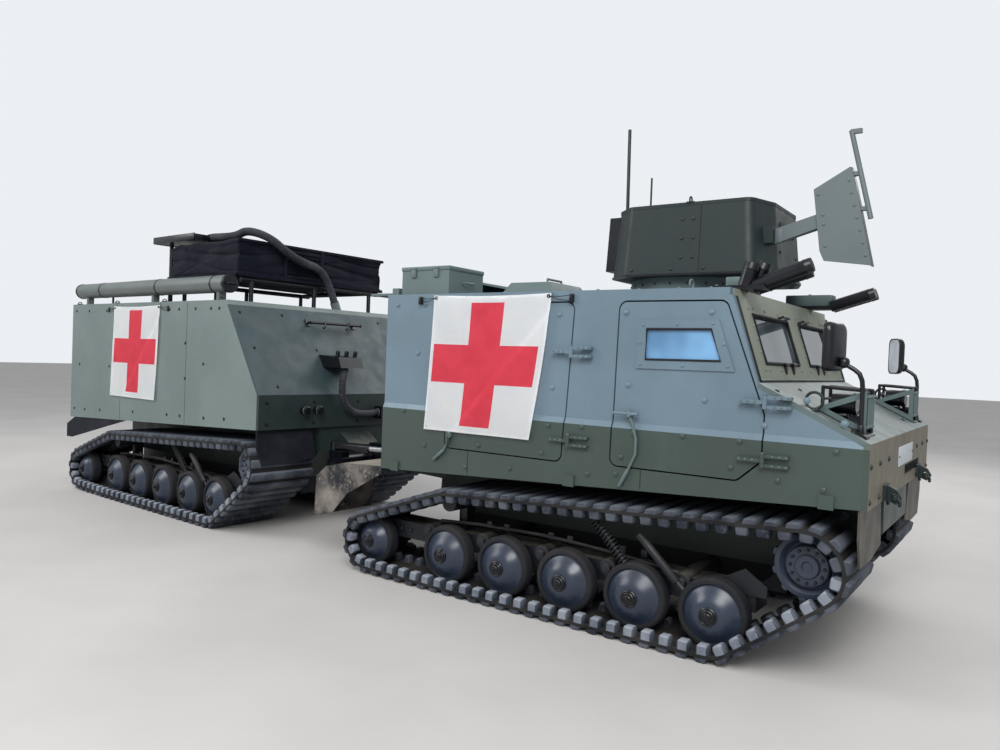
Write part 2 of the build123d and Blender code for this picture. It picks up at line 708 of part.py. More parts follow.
# Front car's half of the coupling: a fork with the king pin and lugs for the rams' eyes
with BuildPart() as front_hitch:
    rear = nose - front_length
    block(rear - 40, rear, -260, 260, 560, 900)
    block(rear - 1, rear + 60, -260, 260, 560, edge_z_rear - 7)
    for low, high in hitch_plates:
        level_plate([(rear - 30, -200), (rear - 30, 200), (pivot, hub_radius), (pivot, -hub_radius)],
                    low, high, [(pivot, 0, hub_radius)])
    low, high = hitch_plates[1]
    eye_x, eye_y = ram_eye
    lug = ram_pin + ram_drift + 28
    for side in (1, -1):
        level_plate([(rear - 30, side * 60), (rear - 30, side * 250), (pivot + eye_x, side * (eye_y + 70)),
                     (pivot + eye_x, side * 60)], low, high, [(pivot + eye_x, side * eye_y, lug)])
        rod((pivot + eye_x, side * eye_y, low - 1), (pivot + eye_x, side * eye_y, high + 1),
            ram_pin + ram_drift, Mode.SUBTRACT)
    rod((pivot, 0, hitch_plates[0][0] - 30), (pivot, 0, high + 30), king_pin)

# Turning head between the cars, with the tilting axis across its rear
with BuildPart() as steering_head:
    low, high = hitch_plates[0][1] + seat_gap, hitch_plates[1][0] - seat_gap
    pitch_x = pivot - pitch_back
    rod((pivot, 0, low), (pivot, 0, high), hub_radius)
    block(pitch_x, pivot, -60, 60, low + 8, high - 8)
    rod((pitch_x, -pitch_half, coupling_z), (pitch_x, pitch_half, coupling_z), pitch_radius)
    base_x, base_y = pivot + ram_base[0], ram_base[1]
    for side in (1, -1):
        level_plate([(pitch_x + 40, side * 320), (pitch_x + 40, side * pitch_half),
                     (base_x, side * pitch_half), (base_x, side * 330)],
                    coupling_z, ram_z - ram_radius - 5, [(base_x, side * base_y, 40)])
        rod((base_x, side * base_y, coupling_z + 40), (base_x, side * base_y, ram_z + ram_radius + 6),
            ram_pin)
    rod((pivot, 0, low - 1), (pivot, 0, high + 1), king_pin + seat_gap, Mode.SUBTRACT)

# Drawbar: ears on the tilting axis and a round shank that the rear car rolls on
with BuildPart() as drawbar:
    ear_rear = pitch_x - ear_radius
    for side in (1, -1):
        rod((pitch_x, side * 70, coupling_z), (pitch_x, side * 115, coupling_z), ear_radius)
        block(ear_rear - 39, pitch_x, side * 70, side * 115, coupling_z - 60, coupling_z + 60)
    block(ear_rear - 39, ear_rear, -115, 115, coupling_z - 70, coupling_z + 70)
    rod((ear_rear - 38, 0, coupling_z), (rear_nose - 25, 0, coupling_z), shank_radius)
    rod((pitch_x, -116, coupling_z), (pitch_x, 116, coupling_z), pitch_radius + seat_gap, Mode.SUBTRACT)


def ram_line(side):
    """A ram's base and its eye in the turning head's frame as it is parked."""
    base = Vector(pivot + ram_base[0], side * ram_base[1], ram_z)
    turn = radians(-parked_bend)
    eye_x, eye_y = ram_eye[0], side * ram_eye[1]
    eye = Vector(pivot + eye_x * cos(turn) - eye_y * sin(turn),
                 eye_x * sin(turn) + eye_y * cos(turn), ram_z)
    return base, eye, (eye - base).normalized()


# Steering rams: each barrel turns on the head, each rod's eye carries its own pin
rams = {}
for hand, side in (("left", 1), ("right", -1)):
    base, eye, along = ram_line(side)
    barrel_end = base + along * 360
    with BuildPart() as barrel:
        rod(base + along * 20, barrel_end, ram_radius)
        rod(base - Vector(0, 0, 35), base + Vector(0, 0, 35), 34)
        rod(base - Vector(0, 0, 36), base + Vector(0, 0, 36), ram_pin + seat_gap, Mode.SUBTRACT)
        rod(base + along * 45, barrel_end + along, ram_rod_radius + seat_gap, Mode.SUBTRACT)
    with BuildPart() as piston_rod:
        rod(base + along * 190, eye - along * 20, ram_rod_radius)
        rod(eye - Vector(0, 0, 20), eye + Vector(0, 0, 20), 34)
        low, high = hitch_plates[1]
        rod(eye, (eye.X, eye.Y, high + 13), ram_pin)
        rod((eye.X, eye.Y, high + 5), (eye.X, eye.Y, high + 13), ram_pin + ram_drift + 10)
    rams["ram_barrel_" + hand] = barrel
    rams["ram_rod_" + hand] = piston_rod

# Rear car, floor and the bearing block that the drawbar's shank turns in
with BuildPart() as rear_lower_hull:
    hull_floor(rear_nose, rear_length)

with BuildPart() as rear_hitch:
    face = rear_nose - nose_plate
    side_plate([(face, 860), (rear_nose + 110, 760), (rear_nose + 110, 560), (rear_nose - 20, 540),
                (face - 182, 540), (face, tub_z + 280)], -170, 170)
    rod((face - 60, 0, coupling_z), (rear_nose + 111, 0, coupling_z), shank_radius + seat_gap, Mode.SUBTRACT)

# Rear car, flat side walls with a sloping front, and the rear wall
with BuildPart() as rear_upper_hull:
    rear, front = rear_nose - rear_length, rear_nose - nose_plate
    low_front = edge_height(nose_plate, rear_length)
    for side in (1, -1):
        side_plate([(rear, edge_z_rear), (front, low_front), (front, ridge_z),
                    (rear_nose - slope_back, under_roof), (rear, under_roof)],
                   side * wall_inner, side * half_width)
    block(rear, rear + end_wall, -wall_inner, wall_inner, edge_z_rear, under_roof)
    block(rear - 1, rear + end_wall + 1, -rear_door_half - door_gap, rear_door_half + door_gap,
          rear_door_low - door_gap, rear_door_high + door_gap, Mode.SUBTRACT)
    for z in (1050, 1700):
        axis_y = rear_door_half + 16
        rod((rear - 16, axis_y, z - 40), (rear - 16, axis_y, z + 40), hinge_pin_radius)
        for low in (z - 40, z + 22):
            rod((rear - 16, axis_y, low), (rear - 16, axis_y, low + 18), hinge_radius)
            block(rear - 20, rear - 12, axis_y, axis_y + 90, low, low + 18)
            block(rear - 16, rear, axis_y + 30, axis_y + 90, low, low + 18)

# Rear car, front plates
with BuildPart() as rear_nose_panel:
    z_low = edge_height(nose_plate, rear_length)
    cross_plate([(-half_width, z_low), (half_width, z_low), (half_width, ridge_z), (-half_width, ridge_z)],
                rear_nose - nose_plate, rear_nose)
with BuildPart() as rear_slope_panel:
    side_plate([(rear_nose - nose_plate, ridge_z), (rear_nose, ridge_z),
                (rear_nose - slope_back + nose_plate, under_roof), (rear_nose - slope_back, under_roof)],
               -half_width, half_width)

with BuildPart() as rear_roof:
    rear = rear_nose - rear_length
    side_plate([(rear, under_roof), (rear_nose - slope_back + nose_plate, under_roof),
                (rear_nose - slope_back + nose_plate - roof_plate * lean, roof_z), (rear, roof_z)],
               -half_width, half_width)
    for side in (1, -1):
        banner_brackets(rear_nose, rear_banner, side, half_width)
    # Collar that the roof hose goes into
    before, end = on_rear(roof_hose_route)[-2:]
    rod(end, end + (end - before).normalized() * 95, roof_hose_radius + 8)

# Rear car, hose over the shelter bag to the roof
with BuildPart() as roof_hose:
    hose(on_rear(roof_hose_route), roof_hose_radius)

# Rear car, connector boxes in the gap and the hose between them
with BuildPart() as gap_connectors:
    start, after = on_rear(gap_hose_route)[:2]
    before, end = on_rear(gap_hose_route)[-2:]
    rod(start, start + (start - after).normalized() * 40, gap_hose_radius + 6)
    side_plate([(rear_nose - (1450 - ridge_z) * lean + seat_gap, 1450),
                (rear_nose - (1560 - ridge_z) * lean + seat_gap, 1560), (rear_nose + 60, 1545),
                (rear_nose + 100, 1450)], -300, -40)
    rod(end, end + (end - before).normalized() * 40, gap_hose_radius + 6)
    block(rear_nose + seat_gap, rear_nose + 90, 205, 330, 985, 1100)
    for y, z in ((-620, 1080), (-480, 1080), (480, 1060)):
        rod((rear_nose + seat_gap, y, z), (rear_nose + 46, y, z), 34)
with BuildPart() as gap_hose:
    hose(on_rear(gap_hose_route), gap_hose_radius)

# Rear car, rear door on two hinges, with its handle
with BuildPart() as rear_door:
    rear = rear_nose - rear_length
    block(rear, rear + end_wall, -rear_door_half, rear_door_half, rear_door_low, rear_door_high)
    for z in (1050, 1700):
        axis_y = rear_door_half + 16
        rod((rear - 16, axis_y, z - 20), (rear - 16, axis_y, z + 20), hinge_radius)
        block(rear - 20, rear - 12, axis_y, axis_y - 130, z - 18, z + 18)
        block(rear - 16, rear + 1, axis_y - 40, axis_y - 130, z - 18, z + 18)
        rod((rear - 16, axis_y, z - 21), (rear - 16, axis_y, z + 21), hinge_pin_radius + seat_gap,
            Mode.SUBTRACT)
    rod((rear - 30, -380, 1330), (rear + 1, -380, 1330), 16)
    rod((rear - 24, -390, 1330), (rear - 24, -250, 1330), 9)

# Rear car, lamps and a tow hook on the rear wall
with BuildPart() as rear_fittings:
    rear = rear_nose - rear_length - seat_gap
    for side in (1, -1):
        block(rear - 46, rear, side * 830, side * 990, 905, 985)
        rod((rear - 60, side * 870, 945), (rear - 40, side * 870, 945), 30)
        rod((rear - 60, side * 948, 945), (rear - 40, side * 948, 945), 24)
    block(rear - 16, rear, -90, 90, 790, 870)
    block(rear - 90, rear - 10, -70, -40, 800, 860)
    block(rear - 90, rear - 10, 40, 70, 800, 860)
    rod((rear - 65, -75, 830), (rear - 65, 75, 830), 16)

# Rear car, long tube along the right edge of the roof
with BuildPart() as roof_tube:
    y = -965
    tube_z = roof_z + 150
    rod((rear_nose - rear_length + 10, y, tube_z), (rear_nose - 617, y, tube_z), 78)
    for back in (3300, 1900, 760):
        block(rear_nose - back - 20, rear_nose - back + 20, y - 30, y + 30, roof_z, tube_z - 60)

# Rear car, posts and rails under the shelter bag, and the board on top
with BuildPart() as canopy_frame:
    rail_low = bag_z[0] - 30
    front_x, rear_x = rear_nose - bag_back[0] - 40, rear_nose - bag_back[1] + 40
    for x in (front_x, rear_x):
        rod((x, -bag_half + 60, rail_low), (x, bag_half - 60, rail_low), 22)
        for y in (-700, 0, 700):
            rod((x, y, roof_z), (x, y, rail_low), 20)
    for y in (-700, 700):
        rod((front_x, y, rail_low), (rear_x, y, rail_low), 20)
    board_z = bag_z[1] + 12
    block(rear_nose - 2120, rear_nose - 1380, -bag_half, -160, board_z, board_z + 55)
    for y in (-760, -260):
        rod((rear_nose - 2000, y, roof_z), (rear_nose - 2000, y, board_z + 1), 20)
    start, after = on_rear(roof_hose_route)[:2]
    rod(start, start + (start - after).normalized() * 60, roof_hose_radius - 1)

with BuildPart() as canopy_bag:
    low, high = bag_z[0] - 8 + seat_gap, bag_z[1]
    side_plate([(rear_nose - bag_back[0], low), (rear_nose - bag_back[0], high - 50),
                (rear_nose - bag_back[0] - 60, high - 15), (rear_nose - bag_back[1], high),
                (rear_nose - bag_back[1], low)], -bag_half, bag_half)

# Rear car, flaps before the tracks and guards behind them
with BuildPart() as rear_flaps:
    for side in (1, -1):
        side_flap(rear_nose, side)
with BuildPart() as rear_mudguards:
    for side in (1, -1):
        near, far = rear_length - 1242, rear_length - 92
        side_plate([(rear_nose - near, edge_height(near, rear_length)),
                    (rear_nose - far, edge_height(far, rear_length)), (rear_nose - far - 190, 700),
                    (rear_nose - far - 190, 560), (rear_nose - far - 70, 560), (rear_nose - near - 400, 745)],
                   side * 1040, side * 1052)

# Rear car, tool rack on the front slope
with BuildPart() as tool_rack:
    rack_x = rear_nose - 310
    for y in (-300, 230):
        foot = [(rear_nose - lean * (z - ridge_z) + seat_gap, z) for z in (1820, 1880)]
        side_plate([*foot, (foot[1][0] + 14, 1880), (foot[0][0] + 14, 1820)], y - 22, y + 22)
        rod((rear_nose - 391, y, 1850), (rack_x, y, 1850), 9)
    rod((rack_x, -330, 1850), (rack_x, 260, 1850), 12)

# All pieces by the car they belong to
front_pieces = {"front_lower_hull": front_lower_hull, "front_upper_hull": front_upper_hull,
                "front_roof": front_roof, "roof_hatch": roof_hatch, "nose_panel": nose_panel,
                "bonnet": bonnet, "windscreen_frame": windscreen_frame,
                "windscreen_glass": windscreen_glass, "cab_seats": cab_seats, "engine": engine,
                "headlamps": headlamps, "mirrors": mirrors, "smoke_dischargers": smoke_dischargers,
                "roof_boxes": roof_boxes, "tow_fittings": tow_fittings, "front_flaps": front_flaps,
                "front_mudguards": front_mudguards, "cupola_ring": cupola_ring,
                "cupola_shield": cupola_shield, "gun_shield": gun_shield,
                "cupola_fittings": cupola_fittings, "front_hitch": front_hitch,
                **doors, **windows, **banners}
rear_pieces = {"steering_head": steering_head, "drawbar": drawbar, **rams,
               "rear_hitch": rear_hitch, "rear_lower_hull": rear_lower_hull,
               "rear_upper_hull": rear_upper_hull, "rear_nose_panel": rear_nose_panel,
               "rear_slope_panel": rear_slope_panel, "rear_roof": rear_roof, "rear_door": rear_door,
               "roof_tube": roof_tube, "canopy_frame": canopy_frame, "canopy_bag": canopy_bag,
               "rear_flaps": rear_flaps, "rear_mudguards": rear_mudguards, "tool_rack": tool_rack,
               "rear_fittings": rear_fittings, "rear_banners": rear_banners,
               "roof_hose": roof_hose, "gap_hose": gap_hose, "gap_connectors": gap_connectors}
for car, pieces in (("front", front_pieces), ("rear", rear_pieces)):
    for kind, piece in gear[car].items():
        pieces[car + "_" + kind] = piece

# The rear car stands a little turned about the king pin, as it is parked
to_pivot = Location((pivot, -middle_y, 0))
bend = to_pivot * Location((0, 0, 0), (0, 0, parked_bend)) * Location((-pivot, 0, 0))
for pieces, place in ((front_pieces, Location((0, -middle_y, 0))), (rear_pieces, bend)):
    for name, piece in pieces.items():
        piece.part = piece.part.moved(place)
        piece.part.label = name
        export_step(piece.part, "parts/" + name + ".step")
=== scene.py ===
import json
from itertools import product
from math import asin, atan2, cos, cosh, hypot, pi, radians, sin, tanh, tau

import bmesh
import bpy
from mathutils import Matrix, Vector, noise


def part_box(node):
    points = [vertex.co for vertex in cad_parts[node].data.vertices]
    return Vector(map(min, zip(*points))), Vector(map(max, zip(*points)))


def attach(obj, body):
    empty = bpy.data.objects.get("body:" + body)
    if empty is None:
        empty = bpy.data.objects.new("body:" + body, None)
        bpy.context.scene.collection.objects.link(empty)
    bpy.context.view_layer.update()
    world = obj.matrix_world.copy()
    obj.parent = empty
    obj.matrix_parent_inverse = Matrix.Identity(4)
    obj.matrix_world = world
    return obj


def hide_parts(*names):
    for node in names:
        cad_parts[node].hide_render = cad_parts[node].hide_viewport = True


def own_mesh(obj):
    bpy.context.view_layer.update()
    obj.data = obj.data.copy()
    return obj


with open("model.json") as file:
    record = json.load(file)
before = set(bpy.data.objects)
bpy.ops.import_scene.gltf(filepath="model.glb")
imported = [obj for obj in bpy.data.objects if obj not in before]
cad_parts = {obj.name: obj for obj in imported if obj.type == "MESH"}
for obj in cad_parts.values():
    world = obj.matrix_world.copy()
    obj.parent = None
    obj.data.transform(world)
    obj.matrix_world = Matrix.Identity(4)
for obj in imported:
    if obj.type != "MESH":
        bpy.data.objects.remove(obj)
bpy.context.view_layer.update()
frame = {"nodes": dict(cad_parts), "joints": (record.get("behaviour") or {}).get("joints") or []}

# The two cars' own frames: x forward from the car's front plane, y to its left, z up
joints = {joint["name"]: joint for joint in frame["joints"]}
pivot = Vector(joints["steer"]["pos_m"])
roll_axis = joints["roll"]["axis"]
bend = atan2(roll_axis[1], roll_axis[0])
rear_from_pivot = 0.669
front_car = Matrix.Translation((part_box("nose_panel")[1].x, pivot.y, 0))
rear_car = (Matrix.Translation((pivot.x, pivot.y, 0)) @ Matrix.Rotation(bend, 4, "Z")
            @ Matrix.Translation((-rear_from_pivot, 0, 0)))

# Sizes that repeat the construction's, in metres
half_width = 1.06
upper_half = 1.045
ridge_z = 1.214
bevel_z = 1.247
roof_z = 2.002
front_length = 3.148
rear_length = 3.492
screen_back = 0.545
screen_z = 1.511
bonnet_top_z = 1.24
roof_front_back = 0.705
slope_back = 0.502
cupola_back = 1.31

hands = ((1, "left"), (-1, "right"))
AHEAD, BACK, LEFT, UP = (1, 0, 0), (-1, 0, 0), (0, 1, 0), (0, 0, 1)
bonnet_up = (0.445, 0, 0.895)


def new_object(name, data):
    """An object that holds the data, linked to the scene."""
    made = bpy.data.objects.new(name, data)
    bpy.context.scene.collection.objects.link(made)
    return made


def car_frame(body):
    """The frame of the car that a body belongs to."""
    return rear_car if body.startswith("rear") else front_car


class Form:
    """Gathers simple solids into one mesh."""

    def __init__(self):
        self.bm = bmesh.new()

    def loops(self, rings, closed=True, caps=True):
        """A skin over rings of points, with caps at both ends."""
        rows = [[self.bm.verts.new(point) for point in ring] for ring in rings]
        count = len(rows[0])
        for first, second in zip(rows, rows[1:]):
            for k in range(count if closed else count - 1):
                n = (k + 1) % count
                self.bm.faces.new((first[k], first[n], second[n], second[k]))
        if caps:
            self.bm.faces.new(list(reversed(rows[0])))
            self.bm.faces.new(rows[-1])
        return self

    def box(self, low, high, edge=0.0):
        """A block with bevelled edges."""
        low, high = Vector(low), Vector(high)
        made = bmesh.ops.create_cube(self.bm, size=1.0)["verts"]
        size, middle = high - low, (high + low) / 2
        for vert in made:
            vert.co = Vector(v * s for v, s in zip(vert.co, size)) + middle
        if edge:
            edges = list({e for vert in made for e in vert.link_edges})
            bmesh.ops.bevel(self.bm, geom=edges, offset=edge, segments=2, affect="EDGES", profile=0.5)
        return self

    def rod(self, start, end, radius, end_radius=None, sides=20, edge=0.0):
        """A round bar, tapered if it has an end radius, with rounded rims."""
        start = Vector(start)
        line = Vector(end) - start
        last = radius if end_radius is None else end_radius
        profile = [(0, radius), (line.length, last)]
        if edge:
            soft = edge * 0.3
            profile = [(0, radius - edge), (soft, radius - soft), (edge, radius),
                       (line.length - edge, last), (line.length - soft, last - soft),
                       (line.length, last - edge)]
        return self.turned(start, line, profile, sides)

    def turned(self, origin, axis, profile, sides=32):
        """A turned solid from a profile of (distance along the axis, radius)."""
        turn = Vector(axis).to_track_quat("Z", "Y").to_matrix()
        angles = [tau * k / sides for k in range(sides)]
        return self.loops([[Vector(origin) + turn @ Vector((radius * cos(a), radius * sin(a), along))
                            for a in angles] for along, radius in profile])

    def plate(self, points, low, high):
        """A plate from an outline of (x, z), between two places across the car."""
        return self.loops([[Vector((x, y, z)) for x, z in points] for y in (low, high)])

    def tube(self, points, radius, sides=10):
        """A bar along a path of points, mitred at the corners."""
        points = [Vector(p) for p in points]
        angles = [tau * n / sides for n in range(sides)]
        rings = []
        up = Vector((0.13, 0.29, 0.95))
        for k, point in enumerate(points):
            ahead = points[min(k + 1, len(points) - 1)] - points[max(k - 1, 0)]
            side = ahead.cross(up)
            if side.length < 1e-5:
                side = ahead.cross(Vector((0.9, 0.1, 0.1)))
            side.normalize()
            up = side.cross(ahead).normalized()
            rings.append([point + side * radius * cos(a) + up * radius * sin(a) for a in angles])
        return self.loops(rings)

    def ring(self, middle, axis, radius, thickness, turn=(0, tau), steps=36, sides=10):
        """A round bar bent to a ring or a part of one."""
        turn_to = Vector(axis).to_track_quat("Z", "Y").to_matrix()
        start, end = turn
        whole = end - start > tau - 0.01
        points = []
        for k in range(steps + (0 if whole else 1)):
            angle = start + (end - start) * k / steps
            points.append(Vector(middle) + turn_to @ Vector((radius * cos(angle), radius * sin(angle), 0)))
        if whole:
            points += points[:2]
        return self.tube(points, thickness, sides)

    def bolt(self, at, normal, radius=0.013, height=0.007, sides=12):
        """A domed bolt head on a face, over a thin washer."""
        washer = [(-0.001, radius * 1.35), (height * 0.22, radius * 1.35), (height * 0.25, radius)]
        dome = [(height * 0.7, radius * 0.92), (height * 0.95, radius * 0.6), (height, radius * 0.2)]
        return self.turned(at, normal, washer + dome, sides)

    def bolts(self, places, normal, radius, height):
        """Bolt heads that face the same way."""
        for place in places:
            self.bolt(place, normal, radius, height)

    def hexagon(self, at, normal, radius=0.012, height=0.009):
        """A hexagon bolt head."""
        profile = [(-0.001, radius), (height * 0.8, radius), (height, radius * 0.8)]
        return self.turned(at, normal, profile, 6)

    def made(self, name, body, kind, slot=None, smooth=35, placed=True):
        """The finished piece, in its car's frame unless it is placed already, riding on its body."""
        bmesh.ops.recalc_face_normals(self.bm, faces=self.bm.faces)
        mesh = bpy.data.meshes.new(name)
        self.bm.to_mesh(mesh)
        self.bm.free()
        if placed:
            mesh.transform(car_frame(body))
        piece = new_object(name, mesh)
        mesh.materials.append(finishes[kind])
        mesh.shade_smooth()
        mesh.set_sharp_from_angle(angle=radians(smooth))
        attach(piece, body)
        return piece


class Finish:
    """A procedural material: a principled shader and the nodes that feed it."""

    inputs = {"colour": "Base Color", "rough": "Roughness", "metal": "Metallic", "normal": "Normal",
              "coat": "Coat Weight", "sheen": "Sheen Weight", "shine": "Specular IOR Level"}

    def __init__(self, name):
        self.material = bpy.data.materials.new(name)
        self.material.use_nodes = True
        self.tree = self.material.node_tree
        self.tree.nodes.clear()
        self.shader = self.add("BsdfPrincipled")
        output = self.add("OutputMaterial")
        self.tree.links.new(self.shader.outputs[0], output.inputs[0])
        self.place = self.add("TexCoord").outputs["Object"]

    def add(self, kind, inputs=None, **settings):
        """A node with its settings and its inputs, which are values or other nodes' outputs."""
        made = self.tree.nodes.new("ShaderNode" + kind)
        for key, value in settings.items():
            setattr(made, key, value)
        for key, value in (inputs or {}).items():
            self.feed(made, key, value)
        return made

    def feed(self, target, key, value):
        if isinstance(value, bpy.types.NodeSocket):
            self.tree.links.new(value, target.inputs[key])
        else:
            target.inputs[key].default_value = value

    def noise(self, scale, detail=3.0, rough=0.55, stretch=None):
        """Noise from 0 to 1 over the piece's own space."""
        where = self.place
        if stretch:
            where = self.add("Mapping", {0: where, 3: stretch}).outputs[0]
        made = self.add("TexNoise", {"Vector": where, "Scale": scale, "Detail": detail, "Roughness": rough})
        return made.outputs[0]

    def step(self, value, low, high, start=0.0, end=1.0):
        """A smooth step of a value between two marks."""
        made = self.add("MapRange", {0: value, 1: low, 2: high, 3: start, 4: end},
                        interpolation_type="SMOOTHSTEP")
        return made.outputs[0]

    def maths(self, operation, first, second=0.0):
        return self.add("Math", {0: first, 1: second}, operation=operation).outputs[0]

    def mix(self, share, first, second):
        """A mix of two colours."""
        return self.add("Mix", {0: share, 6: first, 7: second}, data_type="RGBA").outputs[2]

    def faded(self, share, amount, first, second):
        """A mix of two colours by a share that is scaled down first."""
        return self.mix(self.maths("MULTIPLY", share, amount), first, second)

    def facing(self, axis):
        """How far the surface faces along an axis."""
        return self.add("SeparateXYZ", {0: self.add("NewGeometry").outputs["Normal"]}).outputs[axis]

    def bump(self, height, strength=0.3, distance=0.002, below=None):
        inputs = {"Strength": strength, "Distance": distance, "Height": height}
        if below is not None:
            inputs["Normal"] = below
        return self.add("Bump", inputs).outputs[0]

    def set(self, **values):
        for key, value in values.items():
            self.feed(self.shader, self.inputs[key], value)
        return self.material


def shade(red, green, blue):
    """A colour written as the screen shows it, from 0 to 255."""
    return tuple((channel / 255) ** 2.2 for channel in (red, green, blue)) + (1.0,)


def scaled(colour, share):
    return tuple(channel * share for channel in colour[:3]) + (1.0,)


def painted(name, colour, rough=0.5, dust=0.25, dust_colour=shade(150, 143, 128), streaks=0.1,
            lower=None, flank=None):
    """Matt vehicle paint: faded in patches, dusty on top, with faint streaks down its sides."""
    finish = Finish(name)
    patches = finish.step(finish.noise(1.6, 4), 0.3, 0.7)
    base = finish.mix(patches, scaled(colour, 0.92), scaled(colour, 1.08))
    # Above the ridge the colour holds a painted sky reflection; below it the lower, darker colour takes over.
    if lower:
        height = finish.add("SeparateXYZ", {0: finish.place}).outputs[2]
        sky_reflection_above_ridge = finish.step(height, ridge_z - 0.002, ridge_z + 0.002)
        base = finish.mix(sky_reflection_above_ridge, finish.mix(patches, scaled(lower, 0.92), scaled(lower, 1.08)), base)
    if flank:
        turned_away = finish.step(finish.maths("ABSOLUTE", finish.facing(1)), 0.7, 0.9)
        base = finish.mix(turned_away, base, flank)
    specks = finish.step(finish.noise(38, 5, 0.7), 0.62, 0.78)
    base = finish.faded(specks, 0.16, base, scaled(colour, 1.7))
    runs = finish.step(finish.noise(9, 3, 0.6, (1, 1, 0.08)), 0.55, 0.8)
    base = finish.faded(runs, streaks, base, scaled(colour, 0.6))
    up = finish.facing(2)
    settled = finish.maths("MULTIPLY", finish.step(up, 0.35, 0.95),
                           finish.step(finish.noise(5, 5), 0.3, 0.65))
    base = finish.faded(settled, dust, base, dust_colour)
    grain = finish.bump(finish.noise(420, 2), 0.12, 0.0006)
    wave = finish.bump(finish.noise(3.0, 2), 0.25, 0.004, grain)
    shine = finish.step(finish.noise(7, 4), 0.25, 0.75, rough - 0.07, rough + 0.09)
    return finish.set(colour=base, rough=shine, normal=wave)


def rubbery(name, colour, dust=0.3, dust_colour=shade(118, 112, 104)):
    """Worn rubber: matt, scuffed and dusty."""
    finish = Finish(name)
    scuffs = finish.step(finish.noise(22, 6, 0.7), 0.45, 0.75)
    cloud = finish.step(finish.noise(4, 4), 0.35, 0.7)
    base = finish.faded(finish.maths("MAXIMUM", scuffs, cloud), dust, colour, dust_colour)
    base = finish.faded(finish.step(finish.facing(2), 0.2, 0.9), dust, base, dust_colour)
    pits = finish.bump(finish.noise(160, 4, 0.7), 0.35, 0.0015)
    return finish.set(colour=base, rough=0.75, normal=pits, shine=0.3)


def woven(name, colour, thread=900, fade=0.18):
    """Woven coated cloth: fine threads, faded in patches."""
    finish = Finish(name)
    cloud = finish.step(finish.noise(3.5, 5), 0.35, 0.75)
    base = finish.faded(cloud, fade, colour, shade(110, 108, 112))
    across, along = (finish.add("TexWave", {"Vector": finish.place, "Scale": thread / 6},
                                bands_direction=axis).outputs[1] for axis in "XZ")
    weave = finish.bump(finish.maths("MULTIPLY", across, along), 0.15, 0.0006)
    return finish.set(colour=base, rough=0.85, normal=weave, sheen=0.03, shine=0.15)


def metallic(name, colour, rough=0.35):
    """Bare metal with fine scratches."""
    finish = Finish(name)
    lines = finish.noise(60, 5, 0.7, (1, 1, 12))
    shine = finish.step(lines, 0.3, 0.7, rough - 0.08, rough + 0.14)
    base = finish.mix(finish.step(finish.noise(9, 4), 0.4, 0.7), colour, scaled(colour, 0.75))
    return finish.set(colour=base, rough=shine, metal=1.0, normal=finish.bump(lines, 0.08, 0.0004))


def window_glass(name, dark, pale):
    """Thick glass with a clean reflection from its coat, coloured between two shades: a tint for the red and
    amber lenses, a painted sky reflection for the door windows.
    """
    finish = Finish(name)
    haze = finish.step(finish.noise(6, 4), 0.3, 0.8, 0.03, 0.09)
    base = finish.mix(finish.step(finish.noise(3, 2), 0.3, 0.7), dark, pale)
    return finish.set(colour=base, rough=haze, coat=0.6)


def banner_cloth(name, left, right, foot, top, thin):
    """White cloth with a red cross, placed over the sheet's own width and height."""
    finish = Finish(name)
    split = finish.add("SeparateXYZ", {0: finish.add("TexCoord").outputs["UV"]})
    u, v = split.outputs[0], split.outputs[1]

    def between(value, low, high):
        """One inside the two marks, with an edge a few threads wide."""
        rise = finish.step(value, low - 0.002, low + 0.002)
        fall = finish.step(value, high - 0.002, high + 0.002, 1.0, 0.0)
        return finish.maths("MULTIPLY", rise, fall)

    mid_u, mid_v = (left + right) / 2, (foot + top) / 2
    upright = finish.maths("MULTIPLY", between(u, mid_u - thin, mid_u + thin), between(v, foot, top))
    arms = finish.maths("MULTIPLY", between(v, mid_v - thin, mid_v + thin), between(u, left, right))
    mask = finish.maths("MAXIMUM", upright, arms)
    cloud = finish.step(finish.noise(6, 5), 0.35, 0.75)
    white = finish.faded(cloud, 0.35, shade(255, 255, 255), shade(232, 240, 250))
    red = finish.faded(cloud, 0.5, shade(255, 78, 98), shade(236, 58, 78))
    base = finish.mix(mask, white, red)
    crease = finish.step(finish.noise(11, 6, 0.65), 0.35, 0.65)
    threads = finish.add("TexChecker", {"Vector": finish.place, "Scale": 900.0}).outputs[1]
    fine = finish.bump(threads, 0.06, 0.0004)
    return finish.set(colour=base, rough=0.62, normal=finish.bump(crease, 0.25, 0.004, fine))


